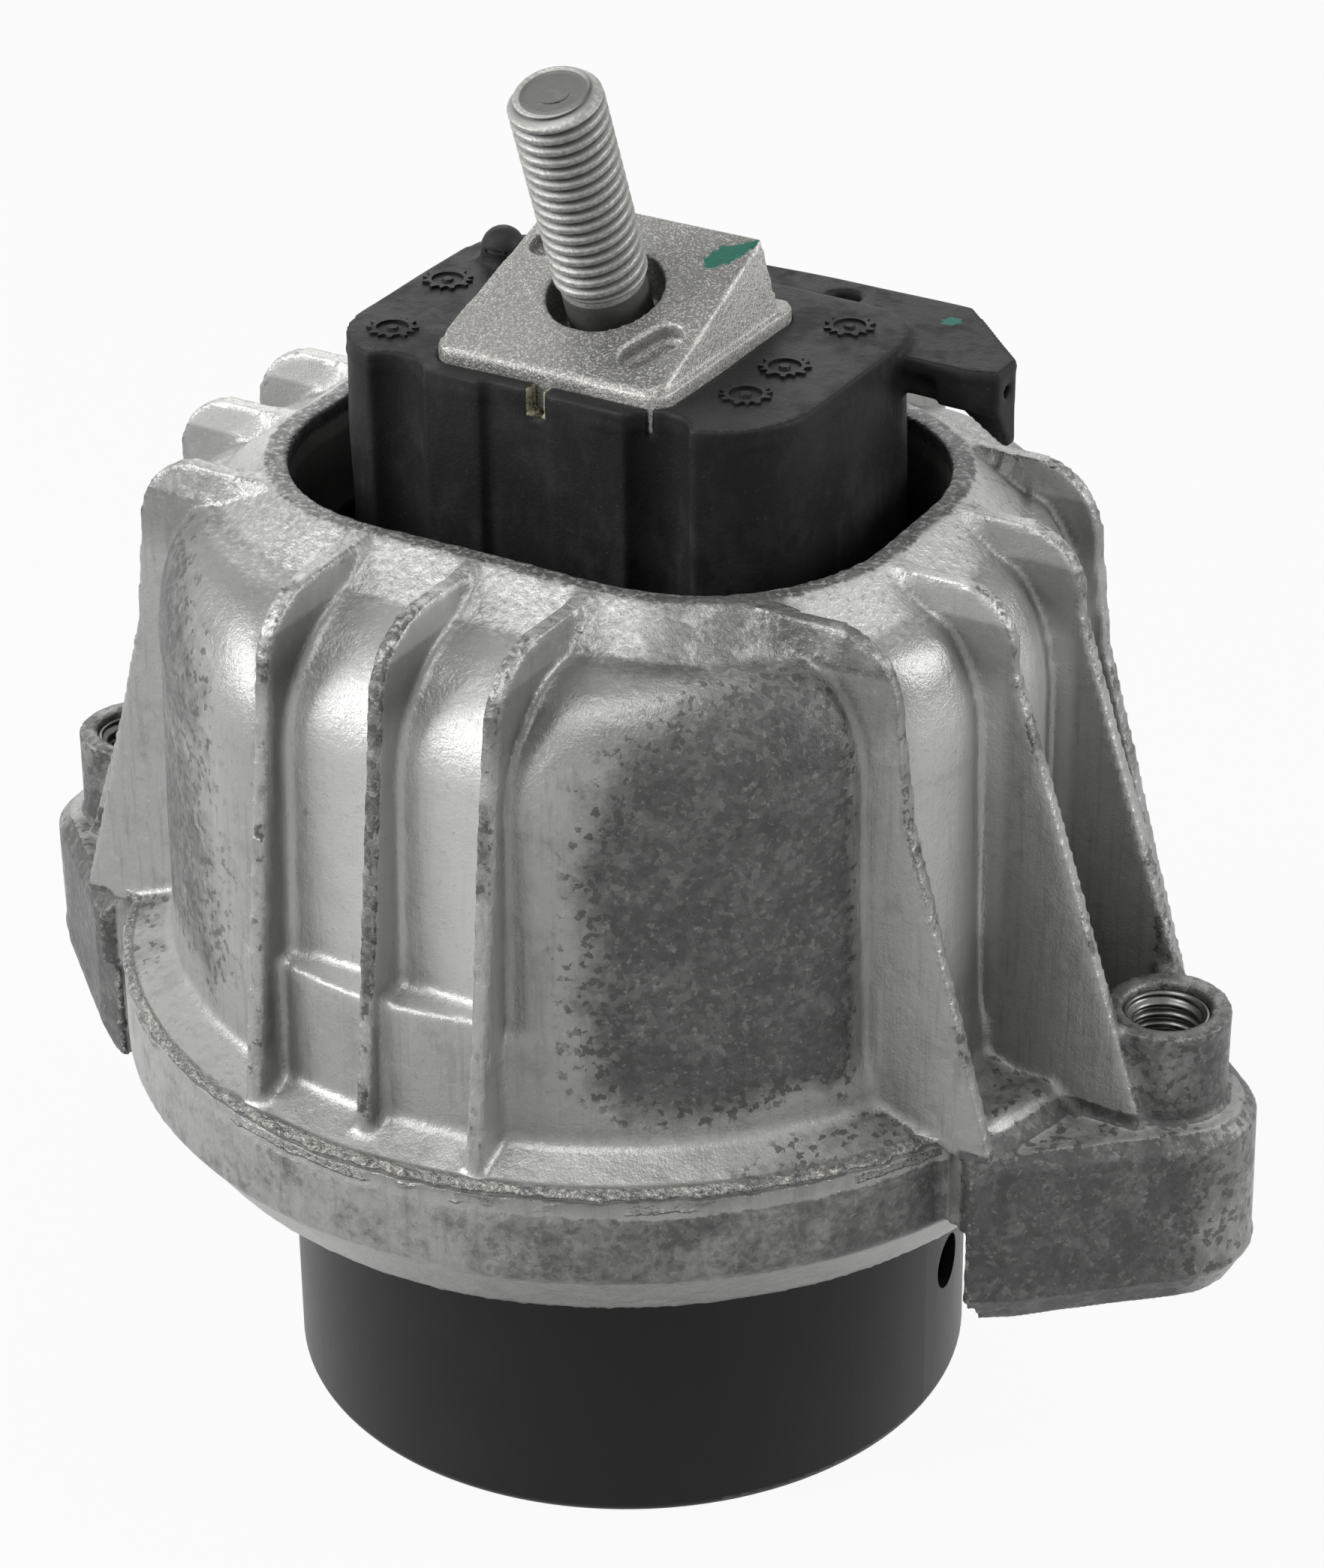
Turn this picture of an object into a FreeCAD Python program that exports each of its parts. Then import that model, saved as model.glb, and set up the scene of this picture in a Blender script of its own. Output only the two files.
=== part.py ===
import FreeCAD, Part
import math
import os
from collections import namedtuple
import Sketcher

# Hydraulic engine mount: a ribbed cast housing with two feet, a rubber spring
# with its core and stud, and a fluid chamber closed by a steel can.
# Origin on the can's axis at its flat bottom, X through both feet, Y to the
# back, Z up. All sizes in millimetres, angles in degrees.

V = FreeCAD.Vector

DRIVING_SIZES = [
    # can
    ("clamp_radius", 50.1, "outer radius of the can's flange and all on it"),
    ("can_flange", 3.9, "how far the can's flange stands out"),
    ("can_wall", 1.5, "sheet thickness of the can"),
    ("can_edge_radius", 1.5, "outer bend at the bottom edge"),
    ("can_shoulder_level", 33.0, "level of the small step in the wall"),
    ("can_step", 0.25, "how far the wall grows above the shoulder"),
    ("vent_radius", 3.85, "vent hole in the wall"),
    ("vent_level", 19.7, "height of the vent hole"),
    ("vent_angle", 9.5, "turn of the vent hole from X"),
    # housing, lower part
    ("lip_level", 43.4, "underside of the housing"),
    ("lip_radius", 60.8, "outer radius of the underside"),
    ("staked_lip", 1.2, "thickness of the lip that holds the can"),
    ("flange_radius", 67.3, "outer radius of the flange"),
    ("flange_low", 52.0, "lower edge of the flange band"),
    ("flange_high", 64.4, "upper edge of the flange band"),
    ("bell_radius", 59.5, "outer radius of the bell wall"),
    ("flange_slope", 3.1, "rise from the flange to the bell wall"),
    ("bell_foot_flare", 0.9, "how far the wall leans out at the flange"),
    ("shoulder_height", 17.4, "height over which the bell closes"),
    ("band_height", 4.9, "height of the bevelled band under the rim"),
    ("band_half_x", 51.2, "half length of the band's lower edge"),
    ("band_half_y", 40.4, "half width of the band's lower edge"),
    ("band_corner", 31.0, "corner radius of the band's lower edge"),
    ("rim_level", 132.3, "top of the housing"),
    ("rim_half_x", 46.4, "half length of the rim, outside"),
    ("rim_half_y", 35.8, "half width of the rim, outside"),
    ("rim_corner", 27.5, "corner radius of the rim, outside"),
    ("opening_half_x", 41.2, "half length of the top opening"),
    ("opening_half_y", 31.1, "half width of the top opening"),
    ("opening_corner", 24.0, "corner radius of the top opening"),
    ("bore_play", 0.1, "room round the clamped parts in the bore"),
    ("bore_top", 76.0, "shoulder that the spring's ring seats on"),
    ("bore_shoulder", 2.8, "width of the shoulder over the bore"),
    ("roof_height", 14.0, "height over which the room closes"),
    ("roof_drop", 7.3, "from the rim down to the room"),
    ("roof_radius", 31.0, "radius of the room at the opening"),
    # recesses between the ribs
    ("recess_half_width", 16.3, "half width of the recessed wall"),
    ("recess_depth", 5.3, "how far the recessed wall is set back"),
    ("recess_foot_depth", 3.9, "the same at its lower end"),
    ("ledge_level", 82.0, "ledge below the recess"),
    ("ledge_rise", 2.0, "slope of the ledge"),
    ("recess_bend_height", 15.4, "height of the recessed wall's bend"),
    ("recess_bend_radius", 17.0, "bend of the recessed wall"),
    # ribs
    ("rib_thickness", 2.4, "thickness of every rib"),
    ("rib_set_down", 0.2, "flat tops of the ribs below the rim"),
    ("rib_root_depth", 7.9, "how deep the ribs reach into the bell wall"),
    ("front_rib_pitch", 16.3, "distance between the front ribs"),
    ("front_rib_flat", 47.5, "outer end of a front rib's flat top"),
    ("front_rib_shoulder", 57.0, "front rib below its round shoulder"),
    ("front_rib_foot", 64.0, "front rib at the flange"),
    ("side_rib_pitch", 18.0, "distance between the side ribs"),
    ("corner_rib_flat", 47.6, "outer end of an outer side rib's flat top"),
    ("corner_rib_shoulder", 55.4, "outer side rib below its shoulder"),
    ("corner_rib_bend", 57.0, "outer side rib where it starts to lean"),
    ("corner_rib_bend_drop", 24.6, "from the rib's flat top to that bend"),
    ("corner_rib_foot", 69.2, "outer side rib at the flange"),
    ("foot_rib_flat", 54.4, "outer end of an inner side rib's flat top"),
    ("foot_rib_shoulder", 61.6, "inner side rib below its shoulder"),
    ("foot_rib_foot", 82.0, "inner side rib at the foot"),
    ("rib_shoulder_drop", 10.0, "height of the ribs' round shoulders"),
    ("rib_shoulder_radius", 10.0, "radius of the narrow ribs' shoulders"),
    ("foot_rib_shoulder_radius", 8.5, "radius of the wide ribs' shoulders"),
    # feet
    ("bolt_offset", 79.5, "distance of the right bolt hole from the axis"),
    ("left_foot_shift", 0.9, "how much farther out the left bolt hole is"),
    ("left_foot_drop", 2.4, "how much lower the left foot is"),
    ("foot_end_radius", 12.0, "round end of the foot"),
    ("foot_bottom", 37.1, "underside of the right foot"),
    ("foot_top", 62.0, "top face of the right foot"),
    ("foot_inset", 8.9, "inner face of the foot, from the right bolt hole"),
    ("foot_half_width", 27.6, "half width of the foot at its inner face"),
    ("foot_crease_x", 9.0, "crease of the foot's wall, from its bolt hole"),
    ("foot_crease_y", 24.2, "crease of the foot's wall, from the middle"),
    ("foot_bevel_width", 2.2, "width of the bevel under the foot"),
    ("foot_bevel_height", 4.1, "height of the bevel under the foot"),
    ("foot_edge", 1.8, "bevel of the foot's top edge"),
    ("foot_bridge_radius", 62.0, "how far the foot reaches into the flange"),
    ("bridge_rise", 3.6, "step from the foot's top up to the bell"),
    ("bridge_step_radius", 69.6, "radius of that step"),
    ("boss_radius", 8.2, "outer radius of the threaded boss"),
    ("boss_level", 74.7, "top of the right threaded boss"),
    ("insert_radius", 5.6, "outer radius of the thread insert"),
    ("thread_radius", 4.25, "bore of the M10 thread"),
    ("insert_set_in", 1.0, "depth of the insert below both faces"),
    # core and stud
    ("core_half_x", 16.9, "half length of the core's plate"),
    ("core_half_y", 17.1, "half width of the core's plate"),
    ("core_corner", 3.0, "corner radius of the core's plate"),
    ("core_set_in", 4.0, "how deep the plate lies in the rubber block"),
    ("core_plate_height", 5.6, "height of the core's plate"),
    ("head_inset", 0.5, "step from the plate to the wedge"),
    ("head_draft", 8.0, "lean of the wedge's sides"),
    ("seat_rise", 5.7, "sloped face above the plate, on the stud's axis"),
    ("seat_offset", 2.5, "stud's axis in front of the middle, there"),
    ("tilt", 20.5, "slope of the core's face and lean of the stud"),
    ("ridge_offset", 10.7, "back edge of the sloped face"),
    ("ridge_foot", 12.8, "where the wedge's back meets the plate"),
    ("recess_x", 10.8, "locating recesses, from the stud along X"),
    ("recess_y", 7.6, "locating recesses, from the stud along the slope"),
    ("recess_slot_radius", 2.3, "half width of a locating recess"),
    ("recess_slot_length", 4.4, "distance between its round ends"),
    ("recess_slot_turn", 62.0, "turn of the recess on the slope"),
    ("recess_slot_depth", 2.6, "depth of a locating recess"),
    ("shank_half_x", 13.0, "half length of the core's shank"),
    ("shank_half_y", 15.6, "half width of the core's shank"),
    ("shank_corner", 5.0, "corner radius of the core's shank"),
    ("shank_length", 32.2, "length of the shank under the plate"),
    ("cone_radius", 20.0, "widest part of the core's lower end"),
    ("cone_drop", 15.0, "from the shank down to the widest part"),
    ("cone_neck", 13.5, "radius where the cone leaves the shank"),
    ("core_tip_radius", 15.0, "flat lower end of the core"),
    ("cone_foot", 7.0, "height of the core below its widest part"),
    ("counterbore_radius", 7.6, "wide mouth of the stud's hole"),
    ("counterbore_depth", 8.0, "depth of that mouth"),
    ("stud_radius", 6.0, "M12 stud"),
    ("stud_reach", 31.6, "stud above the core's face"),
    ("stud_seat", 28.0, "stud below the core's face"),
    ("thread_relief", 0.55, "how much thinner the plain neck is"),
    ("neck_top", 2.4, "top of the plain neck"),
    ("stud_chamfer", 1.2, "bevel at the stud's end"),
    # rubber spring
    ("block_above_rim", 16.9, "top of the rubber block above the rim"),
    ("block_height", 35.2, "height of the rubber block"),
    ("block_half_x", 32.6, "half length of the block"),
    ("block_front", 20.4, "front face of the block"),
    ("block_back", 24.4, "back face of the block"),
    ("block_back_corner", 10.0, "rounding of the back corners"),
    ("block_left_corner", 11.5, "rounding of the left front corner"),
    ("block_right_corner", 13.0, "rounding of the right front corner"),
    ("groove_one_left", 24.4, "left edge of the first groove"),
    ("groove_one_right", 15.9, "right edge of the first groove"),
    ("groove_one_depth", 2.6, "depth of the first groove"),
    ("panel_left", 7.6, "left edge of the set-back panel"),
    ("panel_depth", 1.0, "how far the panel is set back"),
    ("panel_step", 2.3, "where the panel comes forward again"),
    ("panel_rise", 0.5, "how far it comes forward"),
    ("groove_two_left", 12.8, "left edge of the second groove"),
    ("groove_two_right", 22.3, "right edge of the second groove"),
    ("groove_two_depth", 3.7, "depth of the second groove"),
    ("mark_width", 2.2, "moulding slot at the front of the core"),
    ("mark_height", 3.6, "height of that slot"),
    ("nub_radius", 2.9, "moulded nub at the back left"),
    ("nub_height", 4.9, "height of the nub"),
    ("nub_x", 25.4, "nub left of the middle"),
    ("nub_y", 13.6, "nub behind the middle"),
    ("neck_radius", 22.0, "rubber neck under the block"),
    ("neck_height", 8.0, "height of the neck"),
    ("cone_inset", 2.4, "rubber cone inside its ring's bore"),
    ("cone_rise", 4.0, "height of that point over the ring"),
    ("skirt_wall", 3.1, "thickness of the rubber's skirt"),
    ("skirt_height", 5.8, "height of the rubber's skirt"),
    ("chamber_top_radius", 17.0, "fluid chamber at its top"),
    ("tip_skin", 2.0, "rubber under the core's lower end"),
    # spring ring
    ("ring_top_wall", 3.7, "thickness of the ring at its top"),
    ("ring_low_wall", 6.5, "thickness of the ring at its underside"),
    # stop arm, part of the rubber moulding
    ("arm_set_down", 1.2, "top of the arm below the block's top"),
    ("arm_thickness", 5.6, "thickness of the stop arm"),
    ("arm_left", 20.0, "left end of the arm"),
    ("arm_right", 46.0, "right end of the arm"),
    ("arm_back", 32.4, "back of the arm"),
    ("arm_front", 14.3, "front of the arm's right end"),
    ("arm_nose", 42.6, "where the front edge turns"),
    ("arm_nose_y", 15.4, "start of the right edge"),
    ("arm_end_y", 20.6, "end of the right edge"),
    ("arm_bevel_x", 33.6, "where the bevelled corner meets the back"),
    ("arm_overlap", 4.0, "how far the arm reaches into the block"),
    ("arm_lip", 2.2, "thin front lip beside the block"),
    ("arm_lip_width", 1.0, "how far the arm's face is set back under that lip"),
    ("arm_lip_end", 38.0, "where the lip meets the full arm"),
    ("pad_height", 5.6, "height of the stop pad under the arm"),
    ("pad_width", 5.6, "width of the stop pad at the arm"),
    ("pad_tip_width", 1.2, "width of the stop pad at its tip"),
    ("pad_slope", 3.2, "how far the pad's front leans back"),
    ("arm_hole_radius", 2.5, "round hole in the arm"),
    ("arm_hole_depth", 4.6, "depth of that hole"),
    ("arm_hole_x", 17.7, "place of that hole"),
    ("arm_hole_y", 26.9, "place of that hole"),
    ("end_hole_radius", 0.9, "small hole in the arm's end face"),
    ("end_hole_depth", 2.5, "depth of the small hole"),
    ("end_hole_y", 18.2, "place of the small hole"),
    ("end_hole_rise", 2.0, "height of the small hole over the arm's underside"),
    # fluid chamber's parts
    ("bead_width", 6.6, "width of the clamped beads"),
    ("bellows_ring_height", 1.6, "steel ring of the bellows"),
    ("bellows_bead_height", 1.6, "rubber bead above that ring"),
    ("bellows_wall", 1.8, "thickness of the bellows"),
    ("bellows_inset", 0.9, "rolled part inside the beads"),
    ("bellows_roll", 5.3, "radius of the roll"),
    ("bellows_bottom", 18.0, "lowest point of the roll"),
    ("bellows_disc_level", 33.0, "flat middle of the bellows"),
    ("lower_plate_height", 5.2, "thickness of the lower nozzle plate"),
    ("upper_plate_height", 4.2, "thickness of the upper nozzle plate"),
    ("seal_height", 1.5, "thickness of the seal under the spring's ring"),
    ("channel_wall", 8.1, "plate outside the ring channel"),
    ("channel_width", 6.0, "width of the ring channel"),
    ("channel_depth", 3.4, "depth of the ring channel"),
    ("membrane_inset", 10.0, "membrane's chamber inside the channel"),
    ("membrane_room", 2.4, "height of the membrane's chamber"),
    ("membrane_play", 0.3, "clearance around the membrane"),
    ("membrane_bead", 3.0, "width of the membrane's thick edge"),
    ("window_radius", 2.6, "windows over the membrane"),
    ("window_inset", 10.0, "circle of the windows inside the membrane's edge"),
    ("port_radius", 2.4, "port into the ring channel"),
    ("rivet_radius", 1.6, "rivets through the nozzle plates"),
    ("rivet_head_radius", 2.8, "heads of those rivets"),
    ("rivet_head_height", 1.0, "height of a rivet's head"),
    ("rivet_inset", 5.0, "circle of the rivets inside the channel"),
]

# places that follow from the driving sizes
DERIVED_SIZES = {
    "can_radius": lambda s: s.clamp_radius - s.can_flange,
    "bore_radius": lambda s: s.clamp_radius + s.bore_play,
    "cavity_radius": lambda s: s.bore_radius - s.bore_shoulder,
    "ring_top_bore": lambda s: s.clamp_radius - s.ring_top_wall,
    "ring_low_bore": lambda s: s.clamp_radius - s.ring_low_wall,
    "chamber_radius": lambda s: s.ring_low_bore - s.skirt_wall,
    "cone_outer": lambda s: s.ring_top_bore - s.cone_inset,
    "bead_radius": lambda s: s.clamp_radius - s.bead_width,
    "bellows_outer": lambda s: s.bead_radius - s.bellows_inset,
    "channel_outer": lambda s: s.clamp_radius - s.channel_wall,
    "channel_inner": lambda s: s.channel_outer - s.channel_width,
    "membrane_radius": lambda s: s.channel_inner - s.membrane_inset,
    "window_circle": lambda s: s.membrane_radius - s.window_inset,
    "rivet_circle": lambda s: s.channel_inner - s.rivet_inset,
    "bell_foot_level": lambda s: s.flange_high + s.flange_slope,
    "band_level": lambda s: s.rim_level - s.band_height,
    "shoulder_level": lambda s: s.band_level - s.shoulder_height,
    "roof_level": lambda s: s.rim_level - s.roof_drop,
    "cavity_top": lambda s: s.roof_level - s.roof_height,
    "recess_floor": lambda s: s.bell_radius - s.recess_depth,
    "recess_foot": lambda s: s.bell_radius - s.recess_foot_depth,
    "recess_bend_level": lambda s: s.band_level - s.recess_bend_height,
    "rib_level": lambda s: s.rim_level - s.rib_set_down,
    "rib_root": lambda s: s.bell_radius - s.rib_root_depth,
    "corner_rib_bend_level": lambda s: s.rib_level - s.corner_rib_bend_drop,
    "foot_inner_radius": lambda s: s.bolt_offset - s.foot_inset,
    "block_level": lambda s: s.rim_level + s.block_above_rim,
    "block_low": lambda s: s.block_level - s.block_height,
    "neck_level": lambda s: s.block_low - s.neck_height,
    "cone_outer_level": lambda s: s.bore_top + s.cone_rise,
    "core_low": lambda s: s.block_level - s.core_set_in,
    "core_edge": lambda s: s.core_low + s.core_plate_height,
    "seat_level": lambda s: s.core_edge + s.seat_rise,
    "shank_low": lambda s: s.core_low - s.shank_length,
    "cone_level": lambda s: s.shank_low - s.cone_drop,
    "core_bottom": lambda s: s.cone_level - s.cone_foot,
    "chamber_top": lambda s: s.core_bottom - s.tip_skin,
    "stud_neck": lambda s: s.stud_radius - s.thread_relief,
    "arm_level": lambda s: s.block_level - s.arm_set_down,
    "arm_low": lambda s: s.arm_level - s.arm_thickness,
    "pad_tip": lambda s: s.arm_low - s.pad_height,
    "pad_left": lambda s: s.arm_right - s.pad_width,
    "end_hole_level": lambda s: s.arm_low + s.end_hole_rise,
}

# counts and small fixed figures
SHOULDER_STEPS = 4
FRONT_RIBS = 3
WINDOWS = 8
RIVETS = 3
ROUND_SIDE = 0.6
FULL_TURN = 360.0

StackLevels = namedtuple("StackLevels", "can_top ring_top bead_top lower_top upper_top seal_top")
FootLevels = namedtuple("FootLevels", "offset bottom top boss")


class Size:
    """A figure kept both as its value and as the expression that drives it."""

    def __init__(self, text, value):
        self.text = text
        self.value = value

    def __add__(self, other):
        other = as_size(other)
        return Size(f"({self.text} + {other.text})", self.value + other.value)

    def __radd__(self, other):
        return as_size(other) + self

    def __sub__(self, other):
        other = as_size(other)
        return Size(f"({self.text} - {other.text})", self.value - other.value)

    def __rsub__(self, other):
        return as_size(other) - self

    def __mul__(self, other):
        other = as_size(other)
        return Size(f"({self.text} * {other.text})", self.value * other.value)

    def __rmul__(self, other):
        return as_size(other) * self

    def __truediv__(self, other):
        other = as_size(other)
        return Size(f"({self.text} / {other.text})", self.value / other.value)

    def __neg__(self):
        return as_size(0) - self


def as_size(figure):
    if isinstance(figure, Size):
        return figure
    return Size(repr(figure), float(figure))


def cosine(angle):
    angle = as_size(angle)
    return Size(f"cos({angle.text} * 1 deg)", math.cos(math.radians(angle.value)))


def sine(angle):
    angle = as_size(angle)
    return Size(f"sin({angle.text} * 1 deg)", math.sin(math.radians(angle.value)))


class SizeBook:
    """The spreadsheet's driving sizes and what follows from them, by name."""

    def __init__(self, document):
        self.sheet = document.addObject("Spreadsheet::Sheet", "Sizes")
        for row, (alias, value, meaning) in enumerate(DRIVING_SIZES, start=1):
            self.sheet.set(f"A{row}", alias)
            self.sheet.set(f"B{row}", str(value))
            self.sheet.set(f"C{row}", meaning)
            self.sheet.setAlias(f"B{row}", alias)
        document.recompute()

    def __getattr__(self, alias):
        if alias in DERIVED_SIZES:
            return DERIVED_SIZES[alias](self)
        return Size(f"Sizes.{alias}", float(self.sheet.get(alias)))


doc = FreeCAD.newDocument("EngineMount")
size = SizeBook(doc)
parts = []


# Sketch helpers

def new_body(label):
    body = doc.addObject("PartDesign::Body", label)
    body.Label = label
    return body


def keep(piece):
    parts.append(piece)
    return piece


def bind(feature, prop, figure):
    feature.setExpression(prop, as_size(figure).text)


def new_sketch(body, name, plane, lift=None):
    """A sketch on one of the body's origin planes, lifted along its normal."""
    sketch = body.newObject("Sketcher::SketchObject", name)
    flat = [o for o in body.Origin.OriginFeatures if o.Role == plane + "_Plane"][0]
    sketch.AttachmentSupport = [(flat, "")]
    sketch.MapMode = "FlatFace"
    if lift is not None:
        lift = as_size(lift)
        sketch.AttachmentOffset = FreeCAD.Placement(V(0, 0, lift.value), FreeCAD.Rotation())
        sketch.setExpression("AttachmentOffset.Base.z", lift.text)
    return sketch


def hold(sketch, kind, *where, figure=None):
    """Adds one constraint; a figure gives it a size that follows the sheet."""
    if figure is None:
        return sketch.addConstraint(Sketcher.Constraint(kind, *where))
    figure = as_size(figure)
    number = sketch.addConstraint(Sketcher.Constraint(kind, *where, figure.value))
    sketch.setExpression(f"Constraints[{number}]", figure.text)
    return number


def pin_point(sketch, line, end, place):
    """Holds one end point at its distances from the sketch's origin."""
    across, along = (as_size(figure) for figure in place)
    if across.text in ("0", "0.0"):
        hold(sketch, "PointOnObject", line, end, -2)
    else:
        hold(sketch, "DistanceX", -1, 1, line, end, figure=across)
    if along.text in ("0", "0.0"):
        hold(sketch, "PointOnObject", line, end, -1)
    else:
        hold(sketch, "DistanceY", -1, 1, line, end, figure=along)


def arc_through(start, end, radius, left):
    """The short arc from start to end, its centre to the left or right."""
    chord = end - start
    reach = math.sqrt(max(radius ** 2 - (chord.Length / 2) ** 2, 0.0))
    side = V(-chord.y, chord.x, 0).normalize() * (reach if left else -reach)
    centre = (start + end) * 0.5 + side
    first, last = (start, end) if left else (end, start)
    angles = [math.atan2((p - centre).y, (p - centre).x) for p in (first, last)]
    if angles[1] < angles[0]:
        angles[1] += 2 * math.pi
    circle = Part.Circle(centre, V(0, 0, 1), radius)
    return Part.ArcOfCircle(circle, angles[0], angles[1])


def draw_loop(sketch, corners):
    """A closed loop; a corner is (x, y), or (x, y, radius, side) where the
    edge that leaves it is an arc with its centre on that side."""
    places = [tuple(as_size(figure) for figure in corner[:2]) for corner in corners]
    points = [V(across.value, along.value, 0) for across, along in places]
    count = len(corners)
    starts, ends, lines = [], [], []
    for number, corner in enumerate(corners):
        here, there = points[number], points[(number + 1) % count]
        if len(corner) == 2:
            line = sketch.addGeometry(Part.LineSegment(here, there))
            starts.append(1)
            ends.append(2)
        else:
            left = corner[3] == "left"
            radius = as_size(corner[2])
            line = sketch.addGeometry(arc_through(here, there, radius.value, left))
            starts.append(1 if left else 2)
            ends.append(2 if left else 1)
        lines.append(line)
    for number, corner in enumerate(corners):
        before = number - 1
        hold(sketch, "Coincident", lines[before], ends[before], lines[number], starts[number])
        pin_point(sketch, lines[number], starts[number], places[number])
        if len(corner) > 2:
            hold(sketch, "Radius", lines[number], figure=corner[2])


def draw_circle(sketch, place, radius):
    across, along = (as_size(figure) for figure in place)
    radius = as_size(radius)
    circle = Part.Circle(V(across.value, along.value, 0), V(0, 0, 1), radius.value)
    line = sketch.addGeometry(circle)
    pin_point(sketch, line, 3, place)
    hold(sketch, "Radius", line, figure=radius)


def rounded_rectangle(half_x, half_y, corner):
    """Corners of a loop, counter-clockwise from the right side's lower end."""
    inner_x, inner_y = half_x - corner, half_y - corner
    return [
        (half_x, -inner_y), (half_x, inner_y, corner, "left"),
        (inner_x, half_y), (-inner_x, half_y, corner, "left"),
        (-half_x, inner_y), (-half_x, -inner_y, corner, "left"),
        (-inner_x, -half_y), (inner_x, -half_y, corner, "left"),
    ]


def mirrored_loop(corners):
    """The same loop on the other side of the sketch's vertical axis."""
    other = {"left": "right", "right": "left"}
    turned = []
    for corner in corners:
        place = (-as_size(corner[0]), corner[1])
        turned.append(place if len(corner) == 2 else place + (corner[2], other[corner[3]]))
    return turned


def pad(body, name, sketch, length, both_ways=False, downwards=False):
    feature = body.newObject("PartDesign::Pad", name)
    feature.Profile = sketch
    bind(feature, "Length", length)
    if both_ways:
        feature.SideType = "Symmetric"
    feature.Reversed = downwards
    return feature


def pocket(body, name, sketch, length=None, both_ways=False, upwards=False):
    """A cut along the sketch's normal that has to take material away."""
    doc.recompute()
    before = body.Shape.Volume
    feature = body.newObject("PartDesign::Pocket", name)
    feature.Profile = sketch
    if length is None:
        feature.Type = "ThroughAll"
    else:
        bind(feature, "Length", length)
    if both_ways:
        feature.SideType = "Symmetric"
    feature.Reversed = upwards
    doc.recompute()
    if not body.Shape.Volume < before:
        raise RuntimeError(f"{name} cuts nothing")
    return feature


def turned(body, name, sketch, kind="Revolution", angle=FULL_TURN, both_ways=False):
    """A shape turned about Z from a sketch drawn as (radius, level)."""
    feature = body.newObject("PartDesign::" + kind, name)
    feature.Profile = sketch
    feature.ReferenceAxis = (sketch, ["V_Axis"])
    bind(feature, "Angle", angle)
    feature.Midplane = both_ways
    return feature


def turned_body(label, corners):
    body = new_body(label)
    sketch = new_sketch(body, label + "_section", "XZ")
    draw_loop(sketch, corners)
    turned(body, label + "_turned", sketch)
    return body


def mirror_across(body, name, originals, plane):
    feature = body.newObject("PartDesign::Mirrored", name)
    feature.Originals = originals
    flat = [o for o in body.Origin.OriginFeatures if o.Role == plane + "_Plane"][0]
    feature.MirrorPlane = (flat, [""])
    body.Tip = feature
    return feature


def repeat_round(body, name, originals, count):
    feature = body.newObject("PartDesign::PolarPattern", name)
    feature.Originals = originals
    axis = [o for o in body.Origin.OriginFeatures if o.Role == "Z_Axis"][0]
    feature.Axis = (axis, [""])
    feature.Angle = FULL_TURN
    feature.Occurrences = count
    body.Tip = feature
    return feature


def cut_away(label, base, *tools):
    """The base with the room of each tool taken out of it."""
    for number, tool in enumerate(tools, start=1):
        cut = doc.addObject("Part::Cut", f"{label}_{number}")
        cut.Base = base
        cut.Tool = tool
        base = cut
    base.Label = label
    return base


# Housing

def shoulder_section(share):
    """Half sizes, corner and level of the closing bell, share from 0 to 90."""
    out = cosine(share)
    up = sine(share)
    straight = ROUND_SIDE
    half_x = size.band_half_x + (size.bell_radius - size.band_half_x) * out
    half_y = size.band_half_y + (size.bell_radius - size.band_half_y) * out
    corner = size.band_corner + (size.bell_radius - straight - size.band_corner) * out
    level = size.shoulder_level + (size.band_level - size.shoulder_level) * up
    return half_x, half_y, corner, level


def housing_bell(body):
    """Flange, wall, closing shoulder and bevelled band."""
    section = new_sketch(body, "bell_section", "XZ")
    draw_loop(section, [
        (0, size.lip_level),
        (size.lip_radius, size.lip_level),
        (size.flange_radius, size.flange_low),
        (size.flange_radius, size.flange_high),
        (size.bell_radius + size.bell_foot_flare, size.bell_foot_level),
        (size.bell_radius, size.shoulder_level),
        (0, size.shoulder_level),
    ])
    turned(body, "bell", section)
    rings = []
    for step in range(SHOULDER_STEPS + 1):
        half_x, half_y, corner, level = shoulder_section(90.0 * step / SHOULDER_STEPS)
        ring = new_sketch(body, f"shoulder_ring_{step}", "XY", level)
        draw_loop(ring, rounded_rectangle(half_x, half_y, corner))
        rings.append(ring)
    shoulder = body.newObject("PartDesign::AdditiveLoft", "shoulder")
    shoulder.Profile = rings[0]
    shoulder.Sections = rings[1:]
    low = new_sketch(body, "band_low", "XY", size.band_level)
    draw_loop(low, rounded_rectangle(size.band_half_x, size.band_half_y, size.band_corner))
    high = new_sketch(body, "band_high", "XY", size.rim_level)
    draw_loop(high, rounded_rectangle(size.rim_half_x, size.rim_half_y, size.rim_corner))
    band = body.newObject("PartDesign::AdditiveLoft", "band")
    band.Profile = low
    band.Sections = [high]
    band.Ruled = True


def housing_recess(body):
    """The wall between the front ribs and between the back ribs is set back."""
    outside = size.flange_radius + size.rib_thickness
    loop = [
        (outside, size.ledge_level),
        (size.recess_foot, size.ledge_level + size.ledge_rise),
        (size.recess_floor, size.recess_bend_level, size.recess_bend_radius, "left"),
        (size.band_half_y, size.band_level),
        (outside, size.band_level),
    ]
    sketch = new_sketch(body, "recess_section", "YZ")
    draw_loop(sketch, loop)
    draw_loop(sketch, mirrored_loop(loop))
    pocket(body, "recess", sketch, size.recess_half_width * 2, both_ways=True)


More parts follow.
